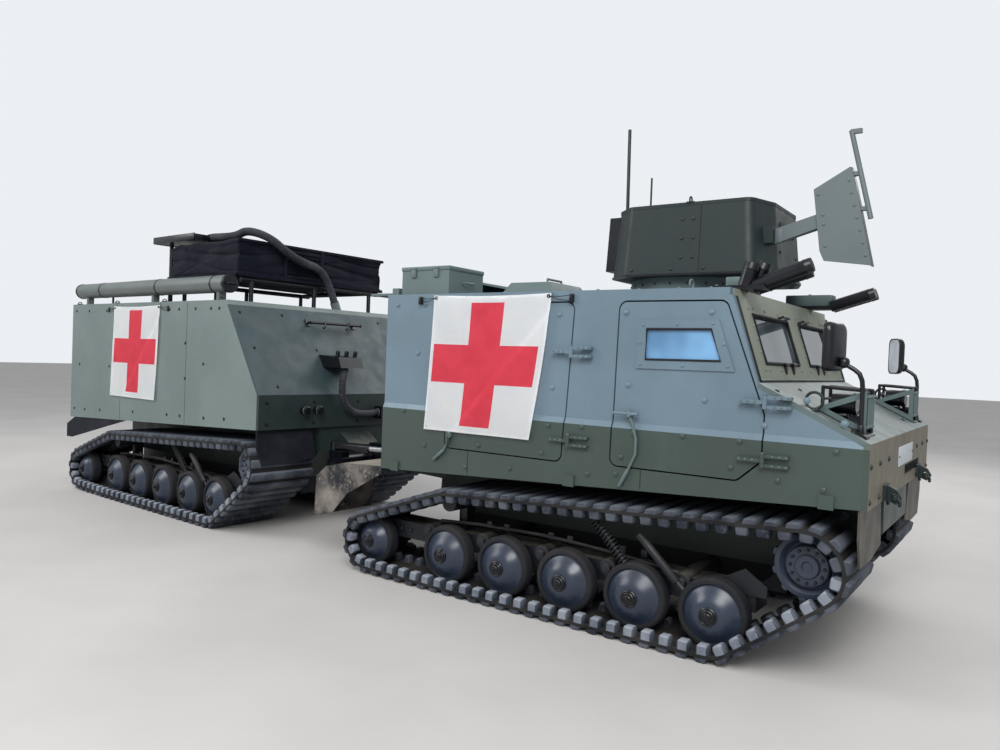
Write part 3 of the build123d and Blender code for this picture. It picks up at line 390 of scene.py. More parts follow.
# Finishes by what they cover
hull_green = shade(58, 70, 65)
finishes = {
    "hull": painted("hull_paint", shade(85, 100, 101), streaks=0.04),
    # Upper walls, doors and their bolts: the bluish tone is a painted sky reflection, with the band's green
    # below the ridge.
    "upper": painted("upper_paint_sky_reflection", shade(98, 117, 129), rough=0.42, lower=hull_green),
    "band": painted("band_paint", hull_green),
    "rear_side": painted("rear_side_paint", shade(103, 116, 114)),
    "rear_slope": painted("rear_slope_paint", shade(47, 64, 69), rough=0.52),
    "rear_band": painted("rear_band_paint", shade(34, 46, 45)),
    "dark": painted("dark_green_paint", shade(25, 38, 38), dust=0.08),
    "pale": painted("pale_green_paint", shade(91, 101, 103), dust=0.15),
    "nose": painted("nose_paint", shade(98, 94, 78), streaks=0.03, flank=hull_green),
    "screen_frame": painted("screen_frame_paint", shade(116, 122, 108), streaks=0.04),
    "flap": painted("flap_paint", shade(66, 63, 56), dust=0.3),
    "black": painted("black_paint", shade(9, 12, 21), rough=0.34, dust=0.04),
    "seam": painted("seam_shadow", shade(14, 16, 18), rough=0.8, dust=0.0),
    "frame": painted("running_gear_paint", shade(20, 23, 30)),
    "wheel": painted("wheel_paint", shade(46, 54, 68), rough=0.3, dust=0.08, streaks=0.2),
    "rim": rubbery("wheel_rim_rubber", shade(26, 28, 34), 0.06),
    "track": rubbery("track_rubber", shade(18, 20, 25), 0.12),
    "lug": rubbery("track_lug_rubber", shade(34, 39, 48), 0.4, shade(120, 126, 136)),
    # Pale lug faces: partly wear, partly painted light on the lugs that face up.
    "wear_and_lit_lugs": rubbery("lug_rubber_wear_and_painted_light", shade(92, 99, 110), 0.4, shade(170, 176, 184)),
    "sheet": rubbery("mudguard_rubber", shade(12, 16, 27), 0.1, shade(96, 98, 106)),
    "dusty": rubbery("dusty_mudguard_rubber", shade(36, 38, 44), 0.75, shade(150, 142, 132)),
    "hose": rubbery("hose_rubber", shade(40, 42, 50), 0.22, shade(112, 114, 120)),
    "canvas": woven("bag_canvas", shade(15, 18, 32), fade=0.05),
    "net": woven("net_cloth", shade(52, 66, 50), thread=500),
    "seat": woven("seat_cloth", shade(30, 32, 34)),
    "bare": metallic("bare_steel", shade(180, 182, 186)),
    "mirror": metallic("mirror_glass", shade(214, 220, 226), rough=0.1),
    "iron": painted("engine_iron", shade(40, 40, 42)),
    # Door windows: the pale blue is a painted sky reflection.
    "glass": window_glass("armoured_glass_sky_reflection", shade(78, 116, 152), shade(116, 164, 206)),
    "screen": window_glass("windscreen_glass", shade(66, 76, 80), shade(92, 104, 110)),
    "lens": window_glass("lamp_lens", shade(150, 158, 160), shade(196, 204, 206)),
    "red_lens": window_glass("red_lamp_lens", shade(120, 18, 20), shade(150, 26, 28)),
    "amber_lens": window_glass("amber_lamp_lens", shade(190, 96, 22), shade(206, 116, 34)),
    "plate": painted("blank_plate_paint", shade(186, 194, 198), dust=0.05, streaks=0.05),
    "tube": painted("roof_tube_paint", shade(92, 99, 98), rough=0.35, dust=0.1),
    "front_cross": banner_cloth("front_banner_cloth", 0.03, 0.95, 0.05, 0.95, 0.14),
    "rear_cross": banner_cloth("rear_banner_cloth", 0.04, 0.96, 0.06, 0.96, 0.135),
}

nodes_by_finish = {
    "band": "front_lower_hull", "nose": "nose_panel", "screen_frame": "windscreen_frame",
    "upper": "front_upper_hull front_roof front_door_left front_door_right side_door_left "
             "side_door_right",
    "hull": "bonnet roof_boxes roof_hatch cupola_ring",
    "screen": "windscreen_glass", "glass": "door_window_left door_window_right",
    "seat": "cab_seats", "iron": "engine", "pale": "gun_shield", "flap": "front_flaps",
    "dark": "tow_fittings front_hitch cupola_shield", "dusty": "front_mudguards",
    "black": "headlamps mirrors smoke_dischargers cupola_fittings steering_head drawbar "
             "ram_barrel_left ram_barrel_right canopy_frame tool_rack rear_fittings gap_connectors",
    "track": "front_tracks rear_tracks", "wheel": "front_wheels rear_wheels",
    "frame": "front_running_frame rear_running_frame", "bare": "ram_rod_left ram_rod_right",
    "rear_band": "rear_hitch rear_lower_hull rear_nose_panel", "rear_slope": "rear_slope_panel",
    "rear_side": "rear_upper_hull rear_roof rear_door", "tube": "roof_tube",
    "canvas": "canopy_bag rear_banners banner_front_left banner_front_right",
    "sheet": "rear_flaps rear_mudguards", "hose": "roof_hose gap_hose",
}
for kind, names in nodes_by_finish.items():
    for name in names.split():
        mesh = frame["nodes"][name].data
        mesh.materials.clear()
        mesh.materials.append(finishes[kind])


# Camera at the photograph's place, floor and soft light
def set_camera():
    focal_px, frame_px, sensor = 779.0, 1000.0, 36.0
    yaw, pitch, roll = radians(125.22), radians(-1.10), radians(-2.157)
    ahead = Vector((cos(pitch) * cos(yaw), cos(pitch) * sin(yaw), sin(pitch)))
    level = Vector((sin(yaw), -cos(yaw), 0))
    under = ahead.cross(level)
    right = level * cos(roll) + under * sin(roll)
    down = under * cos(roll) - level * sin(roll)
    data = bpy.data.cameras.new("camera")
    data.sensor_width = sensor
    data.lens = sensor * focal_px / frame_px
    camera = new_object("camera", data)
    turn = Matrix((right, -down, -ahead)).transposed().to_4x4()
    camera.matrix_world = front_car @ Matrix.Translation((0.678, -5.066, 1.574)) @ turn
    bpy.context.scene.camera = camera


def set_light():
    scene = bpy.context.scene
    scene.view_settings.view_transform = "Standard"
    scene.world = world = bpy.data.worlds.new("studio")
    world.use_nodes = True
    tree = world.node_tree
    tree.nodes.clear()
    output, background, path, seen, strength = (
        tree.nodes.new("ShaderNode" + kind)
        for kind in ("OutputWorld", "Background", "LightPath", "Math", "MapRange"))
    seen.operation = "MAXIMUM"
    for start, end in ((background.outputs[0], output.inputs[0]),
                       (path.outputs["Is Camera Ray"], seen.inputs[0]),
                       (path.outputs["Is Transmission Ray"], seen.inputs[1]),
                       (seen.outputs[0], strength.inputs[0]),
                       (strength.outputs[0], background.inputs["Strength"])):
        tree.links.new(start, end)
    for socket, value in ((1, 0.0), (2, 1.0), (3, 0.6), (4, 0.9)):
        strength.inputs[socket].default_value = value
    background.inputs["Color"].default_value = (0.93, 0.96, 1.0, 1.0)
    # Each light as (place, aim, watts)
    for k, (place, aim, watts) in enumerate((((6.5, -9.0, 8.5), (0.5, 0.0, 1.0), 1120.0),
                                             ((-7.5, -7.0, 7.0), (-1.5, 0.0, 1.0), 520.0),
                                             ((3.0, 8.5, 8.0), (0.0, 0.0, 1.0), 420.0))):
        data = bpy.data.lights.new("light_%d" % k, "AREA")
        data.size = 6.0
        data.energy = watts
        lamp = new_object("light_%d" % k, data)
        lamp.location = place
        lamp.rotation_euler = (Vector(aim) - Vector(place)).to_track_quat("-Z", "Y").to_euler()


def set_floor():
    finish = Finish("floor_finish")
    cloud = finish.step(finish.noise(0.7, 4), 0.3, 0.7)
    base = finish.mix(cloud, shade(186, 183, 180), shade(194, 191, 188))
    grain = finish.bump(finish.noise(60, 5), 0.08, 0.002)
    finish.set(colour=base, rough=0.85, normal=grain)
    reach = 60.0
    mesh = bpy.data.meshes.new("floor")
    mesh.from_pydata([(x * reach, y * reach, 0) for x, y in ((-1, -1), (1, -1), (1, 1), (-1, 1))],
                     [], [(0, 1, 2, 3)])
    mesh.materials.append(finish.material)
    new_object("floor", mesh)


set_camera()
set_light()
set_floor()


# Hoses, their routes in the rear car's own frame
def make_hose(name, node, radius, pitch, route):
    """A ribbed hose: a smooth curve over the route's points, with a ring at every pitch."""
    data = bpy.data.curves.new(name, "CURVE")
    data.dimensions = "3D"
    data.resolution_u = 16
    spline = data.splines.new("NURBS")
    spline.points.add(len(route) - 1)
    for control, point in zip(spline.points, route):
        control.co = (*(rear_car @ Vector(point)), 1.0)
    spline.order_u = 3
    spline.use_endpoint_u = True
    piece = new_object(name, data)
    line = bpy.data.meshes.new_from_object(piece)
    points = [vert.co.copy() for vert in line.vertices]
    bpy.data.meshes.remove(line)
    data.bevel_depth = radius
    data.bevel_resolution = 6
    data.materials.append(finishes["hose"])
    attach(piece, "rear_car")
    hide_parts(node)
    ribs = Form()
    groove, crest = radius - 0.002, radius + 0.0025
    profile = [(0, groove), (pitch * 0.1, crest), (pitch * 0.36, crest), (pitch * 0.46, groove)]
    walked, mark = 0.0, pitch / 2
    for start, end in zip(points, points[1:]):
        step = end - start
        while mark < walked + step.length:
            at = start + step * ((mark - walked) / step.length)
            ribs.turned(at - step.normalized() * pitch * 0.28, step, profile, 20)
            mark += pitch
        walked += step.length
    rings = ribs.made(name + "_ribs", "rear_car", "hose", placed=False)


make_hose("roof_hose_ribbed", "roof_hose", 0.035, 0.021,
          [(-1.35, -0.7, 2.64), (-1.19, -0.712, 2.63), (-0.98, -0.69, 2.628), (-0.78, -0.705, 2.67),
           (-0.592, -0.59, 2.604), (-0.582, -0.398, 2.48), (-0.596, -0.22, 2.42),
           (-0.602, -0.03, 2.39), (-0.608, 0.095, 2.268), (-0.612, 0.18, 2.08)])
make_hose("gap_hose_ribbed", "gap_hose", 0.029, 0.024,
          [(0.045, -0.215, 1.43), (0.062, -0.252, 1.31), (0.066, -0.246, 1.172), (0.06, -0.15, 1.062),
           (0.052, 0.02, 1.03), (0.045, 0.18, 1.042)])

# Running gear, measured back from a car's front plane
sprocket_back, sprocket_z, sprocket_radius = 0.284, 0.588, 0.186
idler_back, idler_z, idler_radius = 3.293, 0.237, 0.178
foremost_wheel_back, wheel_pitch, wheel_radius, wheel_z = 0.765, 0.464, 0.197, 0.242
wheel_backs = [foremost_wheel_back + wheel_pitch * n for n in range(5)]
return_back, return_z, return_radius = 2.6, 0.598, 0.06
band_thick = 0.018
lug_foot, lug_height, lug_pitch, lug_sunk = 0.074, 0.027, 0.109, 0.001
track_inner, track_outer = 0.438, 1.056
wheel_in, wheel_rim, hub_y = 0.872, 0.962, 1.036


def tangent_points(first, second):
    """Where the outer line round two circles touches them, the loop running clockwise."""
    (x1, z1, r1), (x2, z2, r2) = first, second
    dx, dz = x2 - x1, z2 - z1
    turn = atan2(dz, dx) + pi / 2 + asin((r2 - r1) / hypot(dx, dz))
    across, up = cos(turn), sin(turn)
    return (x1 + r1 * across, z1 + r1 * up), (x2 + r2 * across, z2 + r2 * up), turn


def track_line(extra):
    """The track's closed path as points with their outward normals' angles."""
    rounds = [(-back, z, radius + extra) for back, z, radius in (
        (idler_back, idler_z, idler_radius), (return_back, return_z, return_radius),
        (sprocket_back, sprocket_z, sprocket_radius), (wheel_backs[0], wheel_z, wheel_radius),
        (wheel_backs[-1], wheel_z, wheel_radius))]
    runs = [tangent_points(*pair) for pair in zip(rounds, rounds[1:] + rounds[:1])]
    reach = 0.02
    line = []
    for k, (start, end, turn) in enumerate(runs):
        steps = max(2, int(hypot(end[0] - start[0], end[1] - start[1]) / reach))
        for n in range(steps):
            share = n / steps
            line.append((start[0] + (end[0] - start[0]) * share,
                         start[1] + (end[1] - start[1]) * share, turn))
        x, z, radius = rounds[(k + 1) % len(rounds)]
        sweep = (turn - runs[(k + 1) % len(runs)][2]) % tau
        pieces = max(1, int(sweep * radius / reach))
        for n in range(pieces):
            angle = turn - sweep * n / pieces
            line.append((x + radius * cos(angle), z + radius * sin(angle), angle))
    return line


def spaced(line, count=0):
    """Points at even distances along a closed path, a lug's pitch apart if no count is given."""
    lengths = [0.0]
    for a, b in zip(line, line[1:] + line[:1]):
        lengths.append(lengths[-1] + hypot(b[0] - a[0], b[1] - a[1]))
    total = lengths[-1]
    count = count or round(total / lug_pitch)
    out = []
    k = 0
    for n in range(count):
        mark = total * n / count
        while lengths[k + 1] < mark:
            k += 1
        a, b = line[k], line[(k + 1) % len(line)]
        share = (mark - lengths[k]) / (lengths[k + 1] - lengths[k])
        out.append((a[0] + (b[0] - a[0]) * share, a[1] + (b[1] - a[1]) * share, a[2]))
    return out


def lug(form, at, span, foot, crown, height, outward=1.0, sunk=lug_sunk):
    """One rubber block across the band, with sloping flanks and rounded shoulders."""
    x, z, turn = at
    y_low, y_high = sorted(span)
    normal = Vector((cos(turn), 0, sin(turn)))
    along = Vector((sin(turn), 0, -cos(turn)))
    here = Vector((x, 0, z)) - normal * sunk * outward
    half, flank = crown / 2, height * 0.86
    profile = [(-foot / 2, 0), (-half - 0.004, flank), (-half + 0.003, height),
               (half - 0.003, height), (half + 0.004, flank), (foot / 2, 0)]
    shoulder = min(0.012, (y_high - y_low) * 0.15)
    form.loops([[here + along * a * shrink + normal * outward * b * shrink + Vector((0, y, 0))
                 for a, b in profile]
                for y, shrink in ((y_low, 0.86), (y_low + shoulder, 1.0),
                                  (y_high - shoulder, 1.0), (y_high, 0.86))])


def make_tracks(car, body):
    """Both tracks of one car, with their blocks."""
    inner = track_line(0.0)
    outer = [(x + band_thick * cos(turn), z + band_thick * sin(turn)) for x, z, turn in inner]
    outer_marks = spaced(track_line(band_thick))
    inner_marks = spaced(inner, len(outer_marks))
    band, blocks, wear_and_lit_lugs = Form(), Form(), Form()
    for side, _ in hands:
        low, high = sorted((side * track_inner, side * track_outer))
        rows = [[Vector((x, low, z)), Vector((x, high, z)), Vector((far_x, high, far_z)),
                 Vector((far_x, low, far_z))] for (x, z, _), (far_x, far_z) in zip(inner, outer)]
        band.loops([*rows, rows[0]], caps=False)
        for mark in outer_marks:
            lug(blocks, mark, (low, high), lug_foot, 0.052, lug_height)
        for mark in inner_marks:
            lug(blocks, mark, (side * 0.985, side * (track_outer - 0.004)), lug_foot, 0.056, 0.05, -1.0)
            lug(blocks, mark, (side * (track_inner + 0.004), side * 0.52), lug_foot, 0.056, 0.04, -1.0)
            # The pale lug faces are partly wear and partly painted light: none go on the overhead run, whose
            # lugs face down into shade
            if sin(mark[2]) < 0.3:
                lug(wear_and_lit_lugs, mark, (side * 0.987, side * (track_outer - 0.0022)), 0.056, 0.05, 0.0525, -1.0)
        for mark in inner_marks:
            lug(blocks, mark, (side * 0.70, side * 0.76), 0.05, 0.024, 0.05, -1.0)
    bmesh.ops.remove_doubles(band.bm, verts=band.bm.verts, dist=1e-5)
    piece = band.made(car + "_track_bands", body, "track")
    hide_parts(car + "_tracks")
    blocks.made(car + "_track_blocks", body, "lug", smooth=50)
    wear_and_lit_lugs.made(car + "_track_lug_tops_wear_and_painted_light", body, "wear_and_lit_lugs", smooth=50)


def make_wheels(car, body):
    """Road wheels and idlers with rubber rims, dished discs and hubs, and the sprockets."""
    discs, rims, hubs = Form(), Form(), Form()
    flat = wheel_rim - wheel_in
    seat = flat - 0.012
    depth = hub_y - wheel_in - 0.026 - seat
    fine = 56
    for side, _ in hands:
        across = Vector((0, side, 0))
        wheels = [(-back, wheel_z, wheel_radius) for back in wheel_backs]
        for x, z, radius in (*wheels, (-idler_back, idler_z, idler_radius)):
            middle, tread, lip = (x, side * wheel_in, z), radius - 0.001, radius - 0.036
            rims.turned(middle, across,
                        [(0.0, radius - 0.03), (0.002, radius - 0.012), (0.012, tread),
                         (flat - 0.014, tread), (flat - 0.004, radius - 0.008),
                         (flat, radius - 0.02), (flat + 0.001, radius - 0.034), (seat, lip)], fine)
            dish = [(seat + depth * sin(share * pi / 2) ** 1.15, lip + (0.052 - lip) * share ** 0.9)
                    for share in (n / 14 for n in range(15))]
            discs.turned(middle, across, [(0.004, radius - 0.034), (0.03, lip), *dish], fine)
            for low, high, size in ((-0.034, -0.014, 0.05), (-0.02, -0.006, 0.038), (-0.01, 0.002, 0.022)):
                hubs.turned((x, side * (hub_y - 0.002), z), across,
                            [(low, size), (high - 0.003, size), (high, size - 0.004)], 28)
            hubs.hexagon((x, side * hub_y, z), across, 0.011, 0.006)
            hubs.ring((x, side * (hub_y - 0.014), z), across, 0.043, 0.0035, steps=28, sides=6)
        x, z = -sprocket_back, sprocket_z
        tooth = sprocket_radius - 0.012
        discs.turned((x, side * 0.88, z), across,
                     [(0, tooth - 0.03), (0.008, tooth), (0.04, tooth), (0.05, tooth - 0.006),
                      (0.055, tooth - 0.03), (0.03, tooth - 0.055), (0.03, 0.115), (0.05, 0.112),
                      (0.066, 0.106), (0.07, 0.1), (0.066, 0.062), (0.078, 0.06), (0.082, 0.056),
                      (0.082, 0.028), (0.074, 0.022)], fine)
        bolt_count, tooth_count, bolt_circle, root = 12, 11, 0.085, tooth - 0.008
        for angle in (tau * n / bolt_count for n in range(bolt_count)):
            hubs.hexagon((x + bolt_circle * cos(angle), side * 0.95, z + bolt_circle * sin(angle)),
                         across, 0.009, 0.009)
        for angle in (tau * n / tooth_count for n in range(tooth_count)):
            lug(discs, (x + root * cos(angle), z + root * sin(angle), angle),
                (side * 0.84, side * 0.925), 0.05, 0.026, 0.02, sunk=0.0)
    piece = discs.made(car + "_wheel_discs", body, "wheel", smooth=40)
    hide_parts(car + "_wheels")
    rims.made(car + "_wheel_rims", body, "rim", smooth=40)
    hubs.made(car + "_wheel_hubs", body, "black")


def make_suspension(car, body):
    """What shows between the wheels: bar springs, arms, a coil spring and a damper on each side."""
    steel = Form()
    for side, _ in hands:
        def at(back, y, z):
            return Vector((-back, side * y, z))
        # The long bar over the wheels, with its clamps
        steel.tube([at(back, 0.85, z) for back, z in ((1.0, 0.40), (1.4, 0.445), (1.9, 0.47),
                                                      (2.4, 0.462), (2.75, 0.44))], 0.011, 8)
        for back in (1.22, 1.36, 1.72, 1.86, 2.2, 2.34):
            steel.box(at(back + 0.02, 0.848, 0.45), at(back - 0.02, 0.84, 0.495), 0.003)
        for back in wheel_backs:
            pin = back + 0.2
            steel.tube([at(back + 0.16, 0.8, 0.36), at(back + 0.05, 0.83, 0.27),
                        at(back, 0.84, wheel_z)], 0.03, 12)
            steel.rod(at(pin, 0.70, 0.36), at(pin, 0.9, 0.36), 0.055, sides=24, edge=0.006)
            steel.rod(at(pin, 0.9, 0.36), at(pin, 0.925, 0.36), 0.03, sides=16, edge=0.004)
        # Damper and coil spring
        spring_y = 0.93
        steel.rod(at(0.98, spring_y, 0.37), at(1.22, spring_y, 0.60), 0.024, sides=18, edge=0.003)
        steel.rod(at(0.9, spring_y, 0.30), at(0.98, spring_y, 0.37), 0.014, sides=14)
        start, end = at(1.3, spring_y, 0.42), at(1.52, spring_y, 0.66)
        line = end - start
        turn = line.to_track_quat("Z", "Y").to_matrix()
        turns, steps = 14, 14 * 12
        coil = []
        for k in range(steps + 1):
            angle = tau * turns * k / steps
            coil.append(start + line * (k / steps) + turn @ Vector((0.03 * cos(angle), 0.03 * sin(angle), 0)))
        steel.tube(coil, 0.0055, 6)
        steel.rod(start, end, 0.014, sides=12)
        # Plates and webs on the beam
        steel.plate([(-0.5, 0.42), (-0.62, 0.50), (-0.8, 0.40), (-0.8, 0.36), (-0.5, 0.36)],
                    *sorted((side * 0.862, side * 0.87)))
        for back in (0.62, 0.7, 3.02, 3.1):
            steel.hexagon(at(back, 0.862, 0.33), (0, side, 0), 0.014, 0.012)
    steel.made(car + "_springs_and_arms", body, "frame")


for car in ("front", "rear"):
    for make in (make_tracks, make_wheels, make_suspension):
        make(car, car + "_car")


# Banners of cloth
def make_banner(name, body, cloth, near, far, low, high, side, drift, node, joint=None):
    """A banner that hangs from its upper corners, pulled into long creases, with its eyes."""
    wide, tall = far - near, high - low
    place = car_frame(body)
    stand = half_width + 0.008
    across, down = 48, 48

    def spot(u, v):
        """Where a place on the banner hangs, as (x, z)."""
        return (-far + wide * u - (drift[0] * (1 - u) + drift[1] * u) * (1 - v) ** 1.3,
                low + tall * v)

    def swell(u, v):
        """How far the cloth stands out there, from its folds and creases."""
        pull = noise.noise(Vector((u * 2.3 + v * 1.9, v * 0.9 - u * 0.4, 1.7 * side)))
        crease = abs(noise.noise(Vector((u * 3.1 - v * 2.6, u + v, 7.0 + side))))
        across_line = (1.05 - u) * 0.78 + (v - 0.94) * 0.63
        along_line = 0.63 * (1 - u) - 0.78 * (v - 1)
        fold = tanh(-across_line / 0.014) / cosh(across_line / 0.07) * (0.4 + min(along_line, 0.6))
        second = 1 / cosh((u * 0.5 + v * 0.86 - 0.62) / 0.03) * min(max(1.3 - 2.2 * v, 0.0), 1.0)
        height = 0.005 * pull + 0.004 * (1 - crease) * (1 - v) + 0.0075 * fold + 0.004 * second
        return 0.0075 + 0.0055 * tanh(height / 0.006)

    bm = bmesh.new()
    flat_uv = bm.loops.layers.uv.new("flat")
    grid = []
    for row in range(down + 1):
        v = 1 - row / down
        line = []
        for column in range(across + 1):
            u = column / across
            x, z = spot(u, v)
            sag = 0.010 * sin(pi * u) * v ** 3
            line.append(bm.verts.new((x, side * (stand + swell(u, v)), z - sag)))
        grid.append(line)
    for row, column in product(range(down), range(across)):
        corners = ((column, row), (column + 1, row), (column + 1, row + 1), (column, row + 1))
        face = bm.faces.new([grid[r][c] for c, r in corners])
        for loop, (c, r) in zip(face.loops, corners):
            loop[flat_uv].uv = (c / across if side < 0 else 1 - c / across, 1 - r / down)
    bmesh.ops.solidify(bm, geom=list(bm.faces), thickness=0.0011)
    mesh = bpy.data.meshes.new(name)
    bm.to_mesh(mesh)
    bm.free()
    mesh.transform(place)
    mesh.materials.append(cloth)
    mesh.shade_smooth()
    piece = new_object(name, mesh)
    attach(piece, body)
    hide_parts(node)
    if joint:
        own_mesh(piece)
    eyes = Form()
    for u, v in ((0.02, 0.98), (0.98, 0.98), (0.02, 0.02), (0.98, 0.02)):
        x, z = spot(u, v)
        eyes.ring((x, side * (stand + 0.007), z), LEFT, 0.009, 0.0035, steps=18, sides=6)
    # Thin ties from the corners, past the sheet's edges, to small cleats on the wall
    for u, reach_out in ((0.02, -0.15), (0.98, 0.15)):
        corner = Vector((-far + wide * u, side * (stand + 0.008), high - 0.018))
        for rise in (-0.032, 0.004):
            end = corner + Vector((reach_out, -side * 0.006, rise))
            eyes.tube([corner, corner.lerp(end, 0.5) - Vector((0, 0, 0.006)), end], 0.0022, 8)
        cleat = corner + Vector((reach_out, -side * 0.018, -0.014))
        cleat_half = Vector((0.012, 0.014, 0.026))
        eyes.box(cleat - cleat_half, cleat + cleat_half, 0.004)
    eyes.made(name.replace("sheet", "eyes"), body, "black")


for side, hand in hands:
    make_banner("banner_sheet_" + hand, "front_car", finishes["front_cross"], 1.785, 2.70, 1.092, 1.988,
                side, (0.05, 0.12), "banner_front_" + hand, "side_door_%s_open" % hand)
    make_banner("rear_banner_sheet_" + hand, "rear_car", finishes["rear_cross"], 1.607, 2.51, 1.07, 1.97,
                side, (0.04, 0.05), "rear_banners")


# Bolt heads on the hulls, as (back, height) on a side wall
def wall_y(z):
    """The front car's side face at a height."""
    share = min(max((z - ridge_z) / (bevel_z - ridge_z), 0.0), 1.0)
    return half_width + (upper_half - half_width) * share


door_and_wall_bolts = {
    "wall": [(0.12, 1.33), (0.3, 1.43), (0.2, 1.0), (0.42, 1.02), (0.15, 1.19), (0.5, 1.29),
             (2.85, 1.6), (2.95, 1.2), (2.75, 0.98), (3.05, 1.93), (2.8, 1.93), (1.55, 1.2),
             (1.5, 0.93), (1.32, 0.95), (2.4, 0.87), (2.05, 0.9)],
    "front_door": [(1.30, 1.87), (0.80, 1.87), (1.27, 1.46), (0.82, 1.40), (1.29, 1.05), (0.66, 1.06),
                   (1.22, 1.19), (0.93, 1.20), (0.62, 1.20)],
    "side_door": [(1.74, 1.86), (2.47, 1.86), (1.77, 1.42), (2.5, 1.42), (1.78, 1.19), (1.82, 1.02),
                  (2.3, 1.02), (2.1, 1.19), (1.95, 1.19)],
}
window_bolts = [(1.19, 1.80), (0.99, 1.806), (0.79, 1.81), (1.20, 1.58), (0.95, 1.58), (0.70, 1.585),
                (1.205, 1.70), (0.725, 1.70)]
rear_wall_bolts = [(0.62, 1.93), (0.75, 1.93), (1.0, 1.93), (1.28, 1.93), (1.45, 1.93), (2.7, 1.93),
                   (3.1, 1.93), (3.4, 1.93), (0.85, 1.44), (1.16, 1.62), (1.15, 1.3), (2.62, 1.36),
                   (3.3, 1.36), (0.5, 0.98), (0.82, 0.965), (1.22, 0.955), (1.45, 0.95), (2.1, 0.93),
                   (2.42, 1.1), (2.8, 0.9), (3.15, 0.885), (3.4, 0.88)]


def make_hull_bolts():
    """Bolt heads on the walls, the doors, the window frames and the rear car."""
    for side, hand in hands:
        for name, marks in door_and_wall_bolts.items():
            form = Form()
            form.bolts([(-back, side * wall_y(z), z) for back, z in marks], (0, side, 0), 0.0135, 0.010)
            body = "front_car" if name == "wall" else name + "_" + hand
            form.made("%s_bolts_%s" % (name, hand), body, "upper")
        form = Form()
        form.bolts([(-back, side * (upper_half + 0.008), z) for back, z in window_bolts],
                   (0, side, 0), 0.008, 0.005)
        form.made("window_bolts_" + hand, "front_door_" + hand, "upper")
    form = Form()
    for side, _ in hands:
        form.bolts([(-back, side * half_width, z) for back, z in rear_wall_bolts],
                   (0, side, 0), 0.0115, 0.0055)
    form.bolts(product((0,), (-0.98, -0.5, 0.0, 0.5, 0.98), (1.15, 0.97)), AHEAD, 0.011, 0.008)
    rise, run = roof_z - 0.04 - ridge_z, slope_back - 0.03
    for z, places in ((1.28, (-0.85, 0.85)), (1.6, (-0.95, -0.3, 0.9)), (1.9, (-0.98, -0.55, 0.6, 0.98))):
        form.bolts([(-(z - ridge_z) * run / rise, y, z) for y in places],
                   Vector((rise, 0, run)).normalized(), 0.0115, 0.008)
    form.made("rear_car_bolts", "rear_car", "black")


make_hull_bolts()


def make_bag():
    """The shelter bag's cloth skin: it sags between its tapes in long, drooping folds."""
    low, high = Vector((-1.88, -0.87, 2.233)), Vector((-0.66, 0.87, 2.59))
    half, middle = (high - low) / 2, (high + low) / 2
    corner = 0.05
    core = half - Vector((corner, corner, corner))

    def clamped(value):
        return min(max(value, 0.0), 1.0)

    def cloud(*place):
        return noise.noise(Vector(place))

    form = Form()
    bmesh.ops.create_cube(form.bm, size=2.0)
    bmesh.ops.subdivide_edges(form.bm, edges=list(form.bm.edges), cuts=69, use_grid_fill=True)
    for vert in form.bm.verts:
        flat = Vector(v * s for v, s in zip(vert.co, half))
        inner = Vector(max(-c, min(c, v)) for v, c in zip(flat, core))
        normal = (flat - inner).normalized()
        place = inner + normal * corner + middle
        up = clamped((place.z - low.z) / (high.z - low.z))
        along = place.y if abs(normal.x) > abs(normal.y) else place.x
        # Cloth hangs in swags between the tapes, and its folds run along with them
        panel = 0.5 + 0.5 * cloud(along * 2.1, 0.4, 2.0)
        wander = cloud(along * 1.1, place.z * 6.5 + along * 0.9, 4.0)
        second = cloud(along * 2.0, place.z * 9.0 - along * 1.4, 11.0)
        ridge = max(0.0, 1 - 4.2 * abs(wander)) + 0.6 * max(0.0, 1 - 5.0 * abs(second))
        side_depth = 0.006 + 0.034 * panel * sin(pi * up) ** 0.7 + 0.016 * ridge * sin(pi * up) ** 0.5
        pool = 0.5 + 0.5 * cloud(place.x * 3.4, place.y * 2.6, 9.0)
        crumple = abs(cloud(place.x * 8, place.y * 6, place.z * 12))
        inward = min(place.x - low.x, high.x - place.x) / half.x
        top_depth = 0.004 + 0.030 * pool * min(1.0, 2.4 * inward)
        share = abs(normal.z)
        depth = side_depth * (1 - share) + top_depth * share + 0.005 * crumple
        lean = clamped((place.x + 0.80) / 0.14) * up ** 3
        tail = clamped((-1.70 - place.x) / 0.18) * up ** 2
        vert.co = place - normal * depth - Vector((0, 0, 0.03 * lean + 0.05 * tail))
    bag = form.made("bag_cloth", "rear_car", "canvas", smooth=80)
    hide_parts("canopy_bag")
    tapes = Form()
    # Hems along the lower edge, tapes between the panels and a mesh window in the front
    tapes.box((-0.672, -0.85, 2.236), (-0.658, 0.85, 2.262), 0.003)
    for y in (-0.874, 0.862):
        tapes.box((-1.86, y, 2.236), (-0.68, y + 0.012, 2.262), 0.003)
    tapes.box((-0.70, -0.862, 2.545), (-0.662, 0.862, 2.572), 0.006)
    for y in (-0.36, 0.06):
        tapes.box((-0.676, y - 0.014, 2.25), (-0.6605, y + 0.014, 2.55), 0.003)
    thread = 0.0022
    for y in (-0.335 + 0.37 * k / 12 for k in range(13)):
        tapes.box((-0.672, y - thread, 2.285), (-0.6655, y + thread, 2.51))
    for z in (2.29 + 0.215 * k / 7 for k in range(8)):
        tapes.box((-0.672, -0.34, z - thread), (-0.665, 0.04, z + thread))
    for z in (2.28, 2.515):
        tapes.box((-0.676, -0.36, z - 0.011), (-0.6625, 0.06, z + 0.011), 0.002)
    tapes.made("bag_tapes", "rear_car", "canvas")


make_bag()


